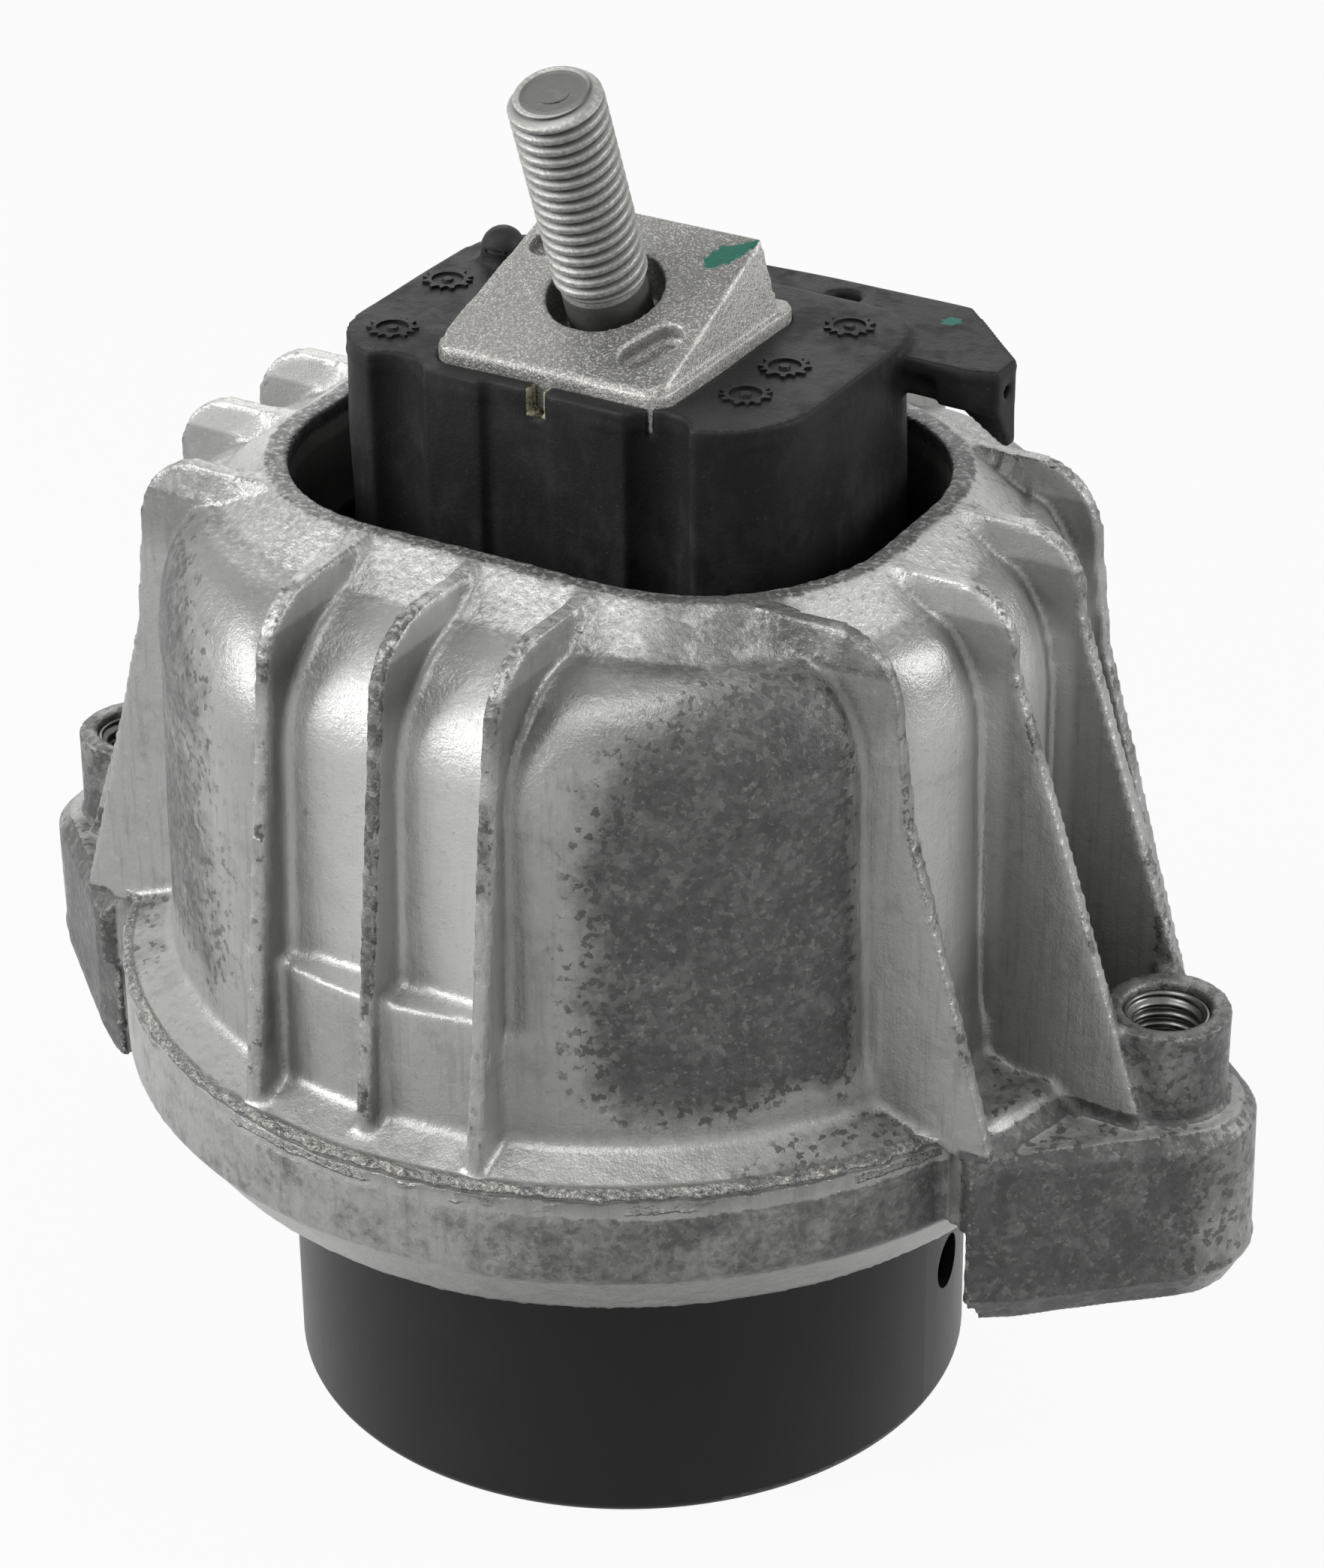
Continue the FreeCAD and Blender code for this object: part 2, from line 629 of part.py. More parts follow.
def rib_loop(top_start, flat_end, shoulder, drop, radius, bends, foot):
    """Outline of one rib as (distance from the axis, level)."""
    return [
        (top_start, size.rib_level),
        (flat_end, size.rib_level, radius, "right"),
        (shoulder, size.rib_level - drop),
        *bends,
        foot,
        (size.rib_root, foot[1]),
        (size.rib_root, size.shoulder_level),
        (top_start, size.band_level),
    ]


def housing_ribs(body):
    drop = size.rib_shoulder_drop
    front = rib_loop(
        size.opening_half_y + 3, size.front_rib_flat, size.front_rib_shoulder, drop,
        size.rib_shoulder_radius, [], (size.front_rib_foot, size.flange_high))
    corner = rib_loop(
        size.opening_half_y + 3, size.corner_rib_flat, size.corner_rib_shoulder, drop,
        size.rib_shoulder_radius, [(size.corner_rib_bend, size.corner_rib_bend_level)],
        (size.corner_rib_foot, size.foot_top + size.bridge_rise - size.left_foot_drop))
    foot = rib_loop(
        size.opening_half_x + 3, size.foot_rib_flat, size.foot_rib_shoulder, drop,
        size.foot_rib_shoulder_radius, [],
        (size.foot_rib_foot, size.foot_top - size.left_foot_drop))

    sketch = new_sketch(body, "front_rib_section", "YZ", -size.front_rib_pitch)
    draw_loop(sketch, front)
    draw_loop(sketch, mirrored_loop(front))
    first = pad(body, "front_rib", sketch, size.rib_thickness, both_ways=True)
    row = body.newObject("PartDesign::LinearPattern", "front_rib_row")
    row.Originals = [first]
    along = [o for o in body.Origin.OriginFeatures if o.Role == "X_Axis"][0]
    row.Direction = (along, [""])
    bind(row, "Length", size.front_rib_pitch * (FRONT_RIBS - 1))
    row.Occurrences = FRONT_RIBS
    body.Tip = row

    sides = []
    for name, loop, distance in (("corner_rib", corner, size.side_rib_pitch * 1.5),
                                 ("foot_rib", foot, size.side_rib_pitch * 0.5)):
        sketch = new_sketch(body, name + "_section", "XZ", distance)
        draw_loop(sketch, loop)
        draw_loop(sketch, mirrored_loop(loop))
        sides.append(pad(body, name, sketch, size.rib_thickness, both_ways=True))
    mirror_across(body, "side_ribs_back", sides, "XZ")


def foot_levels(side):
    """Bolt offset, underside, top face and boss level of one foot."""
    if side > 0:
        return FootLevels(size.bolt_offset, size.foot_bottom, size.foot_top, size.boss_level)
    drop = size.left_foot_drop
    offset = size.bolt_offset + size.left_foot_shift
    return FootLevels(offset, size.foot_bottom - drop, size.foot_top - drop,
                      size.boss_level - drop)


def foot_outline(sketch, side, offset):
    """Round end, walls that touch it, a crease and an inner face round the can."""
    end = size.foot_end_radius.value
    inner = size.foot_inner_radius.value
    half = size.foot_half_width
    middle = offset.value
    crease = V((offset - size.foot_crease_x).value * side, -size.foot_crease_y.value * side, 0)
    start = V(math.sqrt(inner ** 2 - half.value ** 2) * side, -half.value * side, 0)
    reach = math.hypot(crease.y, abs(crease.x) - middle)
    lean = math.atan2(abs(crease.y), middle - abs(crease.x)) - math.asin(end / reach)
    touch = V((middle + end * math.sin(lean)) * side, -end * math.cos(lean) * side, 0)
    corners = [start, crease, touch]
    corners += [V(p.x, -p.y, 0) for p in reversed(corners)]
    facet_in = sketch.addGeometry(Part.LineSegment(corners[0], corners[1]))
    wall_in = sketch.addGeometry(Part.LineSegment(corners[1], corners[2]))
    nose = sketch.addGeometry(arc_through(corners[2], corners[3], end, True))
    wall_out = sketch.addGeometry(Part.LineSegment(corners[3], corners[4]))
    facet_out = sketch.addGeometry(Part.LineSegment(corners[4], corners[5]))
    face = sketch.addGeometry(arc_through(corners[5], corners[0], inner, False))
    hold(sketch, "Coincident", facet_in, 2, wall_in, 1)
    hold(sketch, "Tangent", wall_in, 2, nose, 1)
    hold(sketch, "Tangent", nose, 2, wall_out, 1)
    hold(sketch, "Coincident", wall_out, 2, facet_out, 1)
    hold(sketch, "Coincident", facet_out, 2, face, 2)
    hold(sketch, "Coincident", face, 1, facet_in, 1)
    hold(sketch, "Coincident", face, 3, -1, 1)
    hold(sketch, "Radius", face, figure=size.foot_inner_radius)
    pin_point(sketch, nose, 3, (offset * side, 0))
    hold(sketch, "Radius", nose, figure=size.foot_end_radius)
    for line, end_point, sign in ((facet_in, 2, -1), (wall_out, 2, 1)):
        place = ((offset - size.foot_crease_x) * side, size.foot_crease_y * side * sign)
        pin_point(sketch, line, end_point, place)
    hold(sketch, "DistanceY", -1, 1, facet_in, 1, figure=-half * side)
    hold(sketch, "DistanceY", -1, 1, facet_out, 2, figure=half * side)


def rim_edges(body, level, beyond):
    """Names of the body's edges that lie at a level outside a radius, without
    those that run round the can."""
    names = []
    for number, edge in enumerate(body.Shape.Edges, start=1):
        middle = edge.valueAt((edge.FirstParameter + edge.LastParameter) / 2)
        flat = edge.BoundBox.ZLength < 0.001 and abs(middle.z - level.value) < 0.001
        reach = math.hypot(middle.x, middle.y)
        ends = [math.hypot(vertex.X, vertex.Y) for vertex in edge.Vertexes]
        round_the_can = all(abs(end - reach) < 0.01 for end in ends)
        if flat and not round_the_can and reach > beyond.value + 0.01:
            names.append(f"Edge{number}")
    return names


def housing_foot(body, side, name):
    foot = foot_levels(side)
    outside = size.foot_inner_radius + size.rib_thickness
    bridge = [
        (size.foot_bridge_radius, size.flange_low),
        (outside, size.flange_low),
        (outside, foot.top),
        (size.bridge_step_radius, foot.top + size.bridge_rise),
        (size.foot_bridge_radius, foot.top + size.bridge_rise),
    ]
    section = new_sketch(body, name + "_bridge_section", "XZ")
    draw_loop(section, bridge if side > 0 else mirrored_loop(bridge))
    reach = math.degrees(math.asin(size.foot_half_width.value / size.foot_inner_radius.value))
    ratio = f"{size.foot_half_width.text} / {size.foot_inner_radius.text}"
    turned(body, name + "_bridge", section, angle=Size(f"asin({ratio}) * 2 / 1 deg", 2 * reach),
           both_ways=True)
    outline = new_sketch(body, name + "_outline", "XY", foot.bottom)
    foot_outline(outline, side, foot.offset)
    block = pad(body, name, outline, foot.top - foot.bottom)
    doc.recompute()
    bevel = body.newObject("PartDesign::Chamfer", name + "_bevel")
    bevel.Base = (block, rim_edges(body, foot.bottom, size.foot_inner_radius))
    bevel.ChamferType = "Two distances"
    bind(bevel, "Size", size.foot_bevel_width)
    bind(bevel, "Size2", size.foot_bevel_height)
    doc.recompute()
    broken = body.newObject("PartDesign::Chamfer", name + "_broken_edge")
    broken.Base = (bevel, rim_edges(body, foot.top, outside))
    bind(broken, "Size", size.foot_edge)
    doc.recompute()


def housing_bosses(body):
    for side, name in ((1, "right"), (-1, "left")):
        foot = foot_levels(side)
        circle = new_sketch(body, name + "_boss_circle", "XY", foot.top)
        draw_circle(circle, (foot.offset * side, 0), size.boss_radius)
        pad(body, name + "_boss", circle, foot.boss - foot.top)


def housing_cavity(body):
    section = new_sketch(body, "cavity_section", "XZ")
    staked = size.lip_level + size.staked_lip
    draw_loop(section, [
        (0, size.lip_level),
        (size.can_radius + size.can_step, size.lip_level),
        (size.can_radius + size.can_step, staked),
        (size.bore_radius, staked),
        (size.bore_radius, size.bore_top),
        (size.cavity_radius, size.bore_top),
        (size.cavity_radius, size.cavity_top),
        (size.roof_radius, size.roof_level),
        (0, size.roof_level),
    ])
    turned(body, "cavity", section, kind="Groove")
    opening = new_sketch(body, "opening_outline", "XY", size.cavity_top)
    draw_loop(opening, rounded_rectangle(
        size.opening_half_x, size.opening_half_y, size.opening_corner))
    pocket(body, "opening", opening, size.rim_level - size.cavity_top, upwards=True)
    holes = new_sketch(body, "bolt_holes", "XY", size.boss_level)
    for side in (1, -1):
        draw_circle(holes, (foot_levels(side).offset * side, 0), size.insert_radius)
    pocket(body, "bolt_bores", holes)


def make_housing():
    body = new_body("housing")
    housing_bell(body)
    housing_recess(body)
    housing_foot(body, 1, "right_foot")
    housing_foot(body, -1, "left_foot")
    housing_ribs(body)
    housing_bosses(body)
    housing_cavity(body)
    return body


def make_thread_inserts():
    """A coiled insert lines each threaded boss."""
    for label, side in (("thread_insert_right", 1), ("thread_insert_left", -1)):
        foot = foot_levels(side)
        low = foot.bottom + size.insert_set_in
        body = new_body(label)
        ring = new_sketch(body, label + "_ring", "XY", low)
        draw_circle(ring, (foot.offset * side, 0), size.insert_radius)
        draw_circle(ring, (foot.offset * side, 0), size.thread_radius)
        pad(body, label + "_sleeve", ring, foot.boss - size.insert_set_in - low)
        keep(body)


# Core and stud

def tilted_sketch(body, name):
    """A sketch on the core's sloped face, its origin on the stud's axis."""
    sketch = new_sketch(body, name, "XY")
    turn = FreeCAD.Rotation(V(1, 0, 0), size.tilt.value)
    sketch.AttachmentOffset = FreeCAD.Placement(V(0, 0, 0), turn)
    sketch.setExpression("AttachmentOffset.Base.y", (-size.seat_offset).text)
    sketch.setExpression("AttachmentOffset.Base.z", size.seat_level.text)
    sketch.setExpression("AttachmentOffset.Rotation.Angle", size.tilt.text)
    return sketch


def make_core():
    body = new_body("core")
    plate = new_sketch(body, "plate_outline", "XY", size.core_low)
    draw_loop(plate, rounded_rectangle(size.core_half_x, size.core_half_y, size.core_corner))
    pad(body, "plate", plate, size.core_edge - size.core_low)

    slope = sine(size.tilt) / cosine(size.tilt)
    ridge_level = size.seat_level + (size.ridge_offset + size.seat_offset) * slope
    front_level = size.seat_level - (size.core_half_y - size.seat_offset) * slope
    head = new_sketch(body, "head_outline", "XY", size.core_edge)
    draw_loop(head, rounded_rectangle(size.core_half_x - size.head_inset,
                                      size.core_half_y - size.head_inset, size.core_corner))
    wedge = pad(body, "head", head, ridge_level - size.core_edge + 1)
    wedge.TaperAngle = -size.head_draft.value
    bind(wedge, "TaperAngle", -size.head_draft)
    above = ridge_level + 2
    cut = new_sketch(body, "slope_section", "YZ")
    draw_loop(cut, [
        (-size.core_half_y, front_level),
        (size.ridge_offset, ridge_level),
        (size.ridge_foot, size.core_edge),
        (size.core_half_y + 1, size.core_edge),
        (size.core_half_y + 1, above),
        (-size.core_half_y, above),
    ])
    pocket(body, "slope", cut, size.core_half_x * 2, both_ways=True)

    shank = new_sketch(body, "shank_outline", "XY", size.shank_low)
    draw_loop(shank, rounded_rectangle(size.shank_half_x, size.shank_half_y, size.shank_corner))
    pad(body, "shank", shank, size.core_low - size.shank_low)
    cone = new_sketch(body, "cone_section", "XZ")
    draw_loop(cone, [
        (0, size.core_bottom),
        (size.core_tip_radius, size.core_bottom),
        (size.cone_radius, size.cone_level),
        (size.cone_neck, size.shank_low),
        (0, size.shank_low),
    ])
    turned(body, "cone", cone)

    mouth = tilted_sketch(body, "mouth_circle")
    draw_circle(mouth, (0, 0), size.counterbore_radius)
    pocket(body, "mouth", mouth, size.counterbore_depth)
    hole = tilted_sketch(body, "stud_circle")
    draw_circle(hole, (0, 0), size.stud_radius)
    pocket(body, "stud_hole", hole, size.stud_seat)

    marks = tilted_sketch(body, "recess_outline")
    turn = size.recess_slot_turn
    half = size.recess_slot_length / 2
    radius = size.recess_slot_radius
    for side in (1, -1):
        middle_x, middle_y = size.recess_x * side, -size.recess_y * side
        along = (cosine(turn) * half, sine(turn) * half)
        tip = (cosine(turn) * (half + radius), sine(turn) * (half + radius))
        out = (sine(turn) * radius, -cosine(turn) * radius)
        draw_loop(marks, [
            (middle_x - along[0] + out[0], middle_y - along[1] + out[1]),
            (middle_x + along[0] + out[0], middle_y + along[1] + out[1], radius, "left"),
            (middle_x + tip[0], middle_y + tip[1], radius, "left"),
            (middle_x + along[0] - out[0], middle_y + along[1] - out[1]),
            (middle_x - along[0] - out[0], middle_y - along[1] - out[1], radius, "left"),
            (middle_x - tip[0], middle_y - tip[1], radius, "left"),
        ])
    pocket(body, "locating_recesses", marks, size.recess_slot_depth)
    return body


def make_stud():
    body = new_body("stud")
    section = new_sketch(body, "stud_section", "XZ")
    draw_loop(section, [
        (0, -size.stud_seat),
        (size.stud_radius, -size.stud_seat),
        (size.stud_radius, -size.counterbore_depth),
        (size.stud_neck, -size.counterbore_depth),
        (size.stud_neck, size.neck_top),
        (size.stud_radius, size.neck_top + size.stud_radius - size.stud_neck),
        (size.stud_radius, size.stud_reach - size.stud_chamfer),
        (size.stud_radius - size.stud_chamfer, size.stud_reach),
        (0, size.stud_reach),
    ])
    turned(body, "stud_turned", section)
    turn = FreeCAD.Rotation(V(1, 0, 0), size.tilt.value)
    body.Placement = FreeCAD.Placement(V(0, 0, 0), turn)
    body.setExpression("Placement.Base.y", (-size.seat_offset).text)
    body.setExpression("Placement.Base.z", size.seat_level.text)
    body.setExpression("Placement.Rotation.Angle", size.tilt.text)
    return body


# Rubber spring and its ring

def hollow(start, end, depth):
    """Radius of a shallow round channel from its width and depth."""
    half = (end - start) / 2
    return (half * half + depth * depth) / (depth * 2)


def block_loop():
    """Plan of the rubber block from its front left, counter-clockwise."""
    front, back, half = size.block_front, size.block_back, size.block_half_x
    left_corner, right_corner = size.block_left_corner, size.block_right_corner
    back_corner = size.block_back_corner
    return [
        (-half, left_corner - front, left_corner, "left"),
        (left_corner - half, -front),
        (half - right_corner, -front, right_corner, "left"),
        (half, right_corner - front),
        (half, back - back_corner, back_corner, "left"),
        (half - back_corner, back),
        (back_corner - half, back, back_corner, "left"),
        (-half, back - back_corner),
    ]


def block_front(body):
    """Panel and two round channels in the block's front face."""
    front = size.block_front
    height = size.block_level - size.block_low
    panel = front - size.panel_depth
    raised = panel + size.panel_rise
    first = hollow(size.groove_one_right, size.groove_one_left, size.groove_one_depth)
    second = hollow(size.groove_two_left, size.groove_two_right, size.groove_two_depth)
    first_middle = (size.groove_one_left + size.groove_one_right) / 2
    second_middle = (size.groove_two_left + size.groove_two_right) / 2
    step = new_sketch(body, "panel_outline", "XY", size.block_level)
    draw_loop(step, [
        (-size.panel_left, -front - 1),
        (second_middle, -front - 1),
        (second_middle, -raised),
        (size.panel_step, -raised),
        (size.panel_step, -panel),
        (-size.panel_left, -panel),
    ])
    pocket(body, "panel", step, height)
    channels = new_sketch(body, "channel_circles", "XY", size.block_level)
    draw_circle(channels, (-first_middle, size.groove_one_depth - front - first), first)
    draw_circle(channels, (second_middle, size.groove_two_depth - front - second), second)
    pocket(body, "channels", channels, height)


def stop_arm(body):
    """Arm behind the block with a stop pad over the housing's rim."""
    sketch = new_sketch(body, "arm_outline", "XY", size.arm_low)
    root_x = size.block_half_x - size.arm_overlap
    root_y = size.block_back - size.arm_overlap
    draw_loop(sketch, [
        (-size.arm_left, root_y),
        (root_x, root_y),
        (root_x, size.arm_front),
        (size.arm_nose, size.arm_front),
        (size.arm_right, size.arm_nose_y),
        (size.arm_right, size.arm_end_y),
        (size.arm_bevel_x, size.arm_back),
        (-size.arm_left, size.arm_back),
    ])
    pad(body, "arm", sketch, size.arm_level - size.arm_low)
    wedge = new_sketch(body, "stop_pad_section", "YZ", size.pad_left)
    draw_loop(wedge, [
        (size.arm_nose_y, size.arm_low),
        (size.arm_nose_y + size.pad_slope, size.pad_tip),
        (size.arm_end_y, size.pad_tip),
        (size.arm_end_y, size.arm_low),
    ])
    pad(body, "stop_pad", wedge, size.pad_width)
    taper = new_sketch(body, "pad_taper_section", "XZ", -size.arm_end_y - 1)
    draw_loop(taper, [
        (size.pad_left, size.arm_low),
        (size.arm_right - size.pad_tip_width, size.pad_tip),
        (size.arm_right - size.pad_tip_width, size.pad_tip - 1),
        (size.pad_left - 1, size.pad_tip - 1),
        (size.pad_left - 1, size.arm_low),
    ])
    pocket(body, "pad_taper", taper, size.arm_end_y - size.arm_nose_y + 2, upwards=True)
    under = new_sketch(body, "lip_room_outline", "XY", size.arm_low)
    draw_loop(under, [
        (size.block_half_x, size.arm_front - 1),
        (size.arm_lip_end, size.arm_front - 1),
        (size.arm_lip_end, size.arm_front + size.arm_lip_width),
        (size.block_half_x, size.arm_front + size.arm_lip_width),
    ])
    pocket(body, "lip_room", under, size.arm_level - size.arm_lip - size.arm_low, upwards=True)
    hole = new_sketch(body, "arm_hole", "XY", size.block_level)
    draw_circle(hole, (size.arm_hole_x, size.arm_hole_y), size.arm_hole_radius)
    pocket(body, "arm_bore", hole, size.arm_hole_depth + size.block_level - size.arm_level)
    pin = new_sketch(body, "end_hole", "YZ", size.arm_right)
    draw_circle(pin, (size.end_hole_y, size.end_hole_level), size.end_hole_radius)
    pocket(body, "end_bore", pin, size.end_hole_depth)


def make_rubber_spring(core):
    """Block, arm, neck and cone are one moulding, bonded to core and ring."""
    body = new_body("rubber_moulding")
    plan = new_sketch(body, "block_outline", "XY", size.block_low)
    draw_loop(plan, block_loop())
    pad(body, "block", plan, size.block_level - size.block_low)
    block_front(body)
    ring_low = stack_levels().seal_top
    section = new_sketch(body, "spring_section", "XZ")
    draw_loop(section, [
        (0, size.chamber_top),
        (size.chamber_top_radius, size.chamber_top),
        (size.chamber_radius, ring_low + size.skirt_height),
        (size.chamber_radius, ring_low),
        (size.ring_low_bore, ring_low),
        (size.ring_top_bore, size.bore_top),
        (size.cone_outer, size.cone_outer_level),
        (size.neck_radius, size.neck_level),
        (size.neck_radius, size.block_low),
        (0, size.block_low),
    ])
    turned(body, "spring_cone", section)
    nub = new_sketch(body, "nub_circle", "XY", size.block_level)
    draw_circle(nub, (-size.nub_x, size.nub_y), size.nub_radius)
    pad(body, "nub", nub, size.nub_height)
    half = size.mark_width / 2
    mark = new_sketch(body, "mark_section", "XZ", size.core_half_y)
    draw_loop(mark, [
        (-half, size.block_level - size.mark_height),
        (half, size.block_level - size.mark_height),
        (half, size.block_level),
        (-half, size.block_level),
    ])
    pocket(body, "mark", mark, size.block_front - size.core_half_y, upwards=True)
    stop_arm(body)
    room = tilted_sketch(body, "stud_room")
    draw_circle(room, (0, 0), size.counterbore_radius)
    pocket(body, "stud_hole_room", room, size.stud_seat)
    return cut_away("rubber_spring", body, core)


def make_spring_ring():
    ring_low = stack_levels().seal_top
    return turned_body("spring_ring", [
        (size.ring_low_bore, ring_low),
        (size.clamp_radius, ring_low),
        (size.clamp_radius, size.bore_top),
        (size.ring_top_bore, size.bore_top),
    ])


# Fluid chamber's parts, from the can upwards

def stack_levels():
    """Levels of the clamped parts, each resting on the one below."""
    can_top = size.lip_level + size.staked_lip + size.can_wall
    ring_top = can_top + size.bellows_ring_height
    bead_top = ring_top + size.bellows_bead_height
    lower_top = bead_top + size.lower_plate_height
    upper_top = lower_top + size.upper_plate_height
    seal_top = upper_top + size.seal_height
    return StackLevels(can_top, ring_top, bead_top, lower_top, upper_top, seal_top)


def make_can():
    wall, radius, step = size.can_wall, size.can_radius, size.can_step
    bend = size.can_edge_radius
    flange_low = size.lip_level + size.staked_lip
    shoulder = size.can_shoulder_level
    body = turned_body("base_can", [
        (0, 0),
        (radius - bend, 0, bend, "left"),
        (radius, bend),
        (radius, shoulder),
        (radius + step, shoulder + step),
        (radius + step, flange_low),
        (size.clamp_radius, flange_low),
        (size.clamp_radius, flange_low + wall),
        (radius + step - wall, flange_low + wall),
        (radius + step - wall, shoulder + step),
        (radius - wall, shoulder),
        (radius - wall, wall),
        (0, wall),
    ])
    vent = new_sketch(body, "vent_circle", "YZ")
    vent.AttachmentOffset = FreeCAD.Placement(
        V(0, 0, 0), FreeCAD.Rotation(V(0, 1, 0), size.vent_angle.value))
    vent.setExpression("AttachmentOffset.Rotation.Angle", size.vent_angle.text)
    draw_circle(vent, (0, size.vent_level), size.vent_radius)
    pocket(body, "vent", vent, size.can_radius * 1.1, upwards=True)
    return body


def make_bellows():
    stack = stack_levels()
    wall, outer, low = size.bellows_wall, size.bellows_outer, size.bellows_bottom
    roll = size.bellows_roll
    inside = outer - roll * 2
    disc = size.bellows_disc_level
    return turned_body("bellows", [
        (0, disc),
        (inside + wall, disc),
        (inside, low + roll, roll, "left"),
        (inside + roll, low, roll, "left"),
        (outer, low + roll),
        (outer, stack.can_top),
        (size.bead_radius, stack.can_top),
        (size.bead_radius, stack.ring_top),
        (size.clamp_radius, stack.ring_top),
        (size.clamp_radius, stack.bead_top),
        (outer - wall, stack.bead_top),
        (outer - wall, low + roll, roll - wall, "right"),
        (inside + roll, low + wall, roll - wall, "right"),
        (inside + wall, low + roll),
        (inside + wall * 2, disc + wall),
        (0, disc + wall),
    ])


def make_bellows_ring():
    stack = stack_levels()
    return turned_body("bellows_ring", [
        (size.bead_radius, stack.can_top),
        (size.clamp_radius, stack.can_top),
        (size.clamp_radius, stack.ring_top),
        (size.bead_radius, stack.ring_top),
    ])


def pierce(body, name, plane_level, height, place, radius, count):
    """One round hole repeated about the axis."""
    sketch = new_sketch(body, name + "_circle", "XY", plane_level)
    draw_circle(sketch, place, radius)
    first = pocket(body, name, sketch, height, upwards=True)
    return repeat_round(body, name + "_round", [first], count)


def make_lower_plate():
    stack = stack_levels()
    half_room = size.membrane_room / 2
    body = turned_body("nozzle_plate_lower", [
        (0, stack.bead_top),
        (size.clamp_radius, stack.bead_top),
        (size.clamp_radius, stack.lower_top),
        (size.channel_outer, stack.lower_top),
        (size.channel_outer, stack.lower_top - size.channel_depth),
        (size.channel_inner, stack.lower_top - size.channel_depth),
        (size.channel_inner, stack.lower_top),
        (size.membrane_radius, stack.lower_top),
        (size.membrane_radius, stack.lower_top - half_room),
        (0, stack.lower_top - half_room),
    ])
    pierce(body, "lower_windows", stack.bead_top, size.lower_plate_height,
           (size.window_circle, 0), size.window_radius, WINDOWS)
    pierce(body, "lower_rivet_holes", stack.bead_top, size.lower_plate_height,
           (0, size.rivet_circle), size.rivet_radius, RIVETS)
    port = new_sketch(body, "lower_port_circle", "XY", stack.bead_top)
    draw_circle(port, ((size.channel_inner + size.channel_outer) / 2, 0), size.port_radius)
    pocket(body, "lower_port", port, size.lower_plate_height - size.channel_depth, upwards=True)
    return body


def make_upper_plate():
    stack = stack_levels()
    half_room = size.membrane_room / 2
    body = turned_body("nozzle_plate_upper", [
        (0, stack.lower_top + half_room),
        (size.membrane_radius, stack.lower_top + half_room),
        (size.membrane_radius, stack.lower_top),
        (size.clamp_radius, stack.lower_top),
        (size.clamp_radius, stack.upper_top),
        (0, stack.upper_top),
    ])
    pierce(body, "upper_windows", stack.lower_top, size.upper_plate_height,
           (size.window_circle, 0), size.window_radius, WINDOWS)
    pierce(body, "upper_rivet_holes", stack.lower_top, size.upper_plate_height,
           (0, size.rivet_circle), size.rivet_radius, RIVETS)
    port = new_sketch(body, "upper_port_circle", "XY", stack.lower_top)
    draw_circle(port, (0, -(size.channel_inner + size.channel_outer) / 2), size.port_radius)
    pocket(body, "upper_port", port, size.upper_plate_height, upwards=True)
    return body


def make_membrane():
    """Loose rubber disc with a thick edge between the two nozzle plates."""
    stack = stack_levels()
    play = size.membrane_play
    half = size.membrane_room / 2
    edge = size.membrane_radius - play
    thin = half / 2
    return turned_body("decoupler_membrane", [
        (0, stack.lower_top - thin),
        (edge - size.membrane_bead, stack.lower_top - thin),
        (edge - size.membrane_bead, stack.lower_top - half),
        (edge, stack.lower_top - half),
        (edge, stack.lower_top + half),
        (edge - size.membrane_bead, stack.lower_top + half),
        (edge - size.membrane_bead, stack.lower_top + thin),
        (0, stack.lower_top + thin),
    ])


def make_rivets():
    """Rivets that hold the two nozzle plates together."""
    stack = stack_levels()
    base = None
    for number in range(RIVETS):
        turn = 90.0 + FULL_TURN / RIVETS * number
        across = size.rivet_circle * cosine(turn)
        along = size.rivet_circle * sine(turn)
        for name, radius, low, height in (
                ("shank", size.rivet_radius, stack.bead_top, stack.upper_top - stack.bead_top),
                ("head", size.rivet_head_radius, stack.upper_top, size.rivet_head_height),
                ("tail", size.rivet_head_radius, stack.bead_top - size.rivet_head_height,
                 size.rivet_head_height)):
            rod = doc.addObject("Part::Cylinder", f"rivet_{name}_{number + 1}")
            bind(rod, "Radius", radius)
            bind(rod, "Height", height)
            bind(rod, "Placement.Base.x", across)
            bind(rod, "Placement.Base.y", along)
            bind(rod, "Placement.Base.z", low)
            if base is None:
                base = rod
                continue
            joined = doc.addObject("Part::Fuse", f"rivets_joined_{number + 1}_{name}")
            joined.Base = base
            joined.Tool = rod
            joined.Refine = True
            base = joined
    base.Label = "nozzle_rivets"
    return base


def make_seal():
    stack = stack_levels()
    return turned_body("chamber_seal", [
        (size.ring_low_bore, stack.upper_top),
        (size.clamp_radius, stack.upper_top),
        (size.clamp_radius, stack.seal_top),
        (size.ring_low_bore, stack.seal_top),
    ])


def check_document():
    doc.recompute()
    for thing in doc.Objects:
        if "Invalid" in thing.State or "Error" in thing.State:
            raise RuntimeError(f"{thing.Name} failed: {thing.State}")
    for piece in parts:
        if piece.Shape.isNull() or not piece.Shape.isValid():
            raise RuntimeError(f"{piece.Label} has no valid shape")


def main():
    keep(make_housing())
    make_thread_inserts()
    core = keep(make_core())
    keep(make_stud())
    keep(make_rubber_spring(core))
    keep(make_spring_ring())
    keep(make_can())
    keep(make_bellows())
    keep(make_bellows_ring())
    keep(make_lower_plate())
    keep(make_upper_plate())
    keep(make_membrane())
    keep(make_rivets())
    keep(make_seal())
    check_document()
    os.makedirs("parts", exist_ok=True)
    for piece in parts:
        piece.Shape.exportStep(f"parts/{piece.Label}.step")
        print(piece.Label, len(piece.Shape.Solids), round(piece.Shape.Volume, 1))


main()
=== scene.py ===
import math

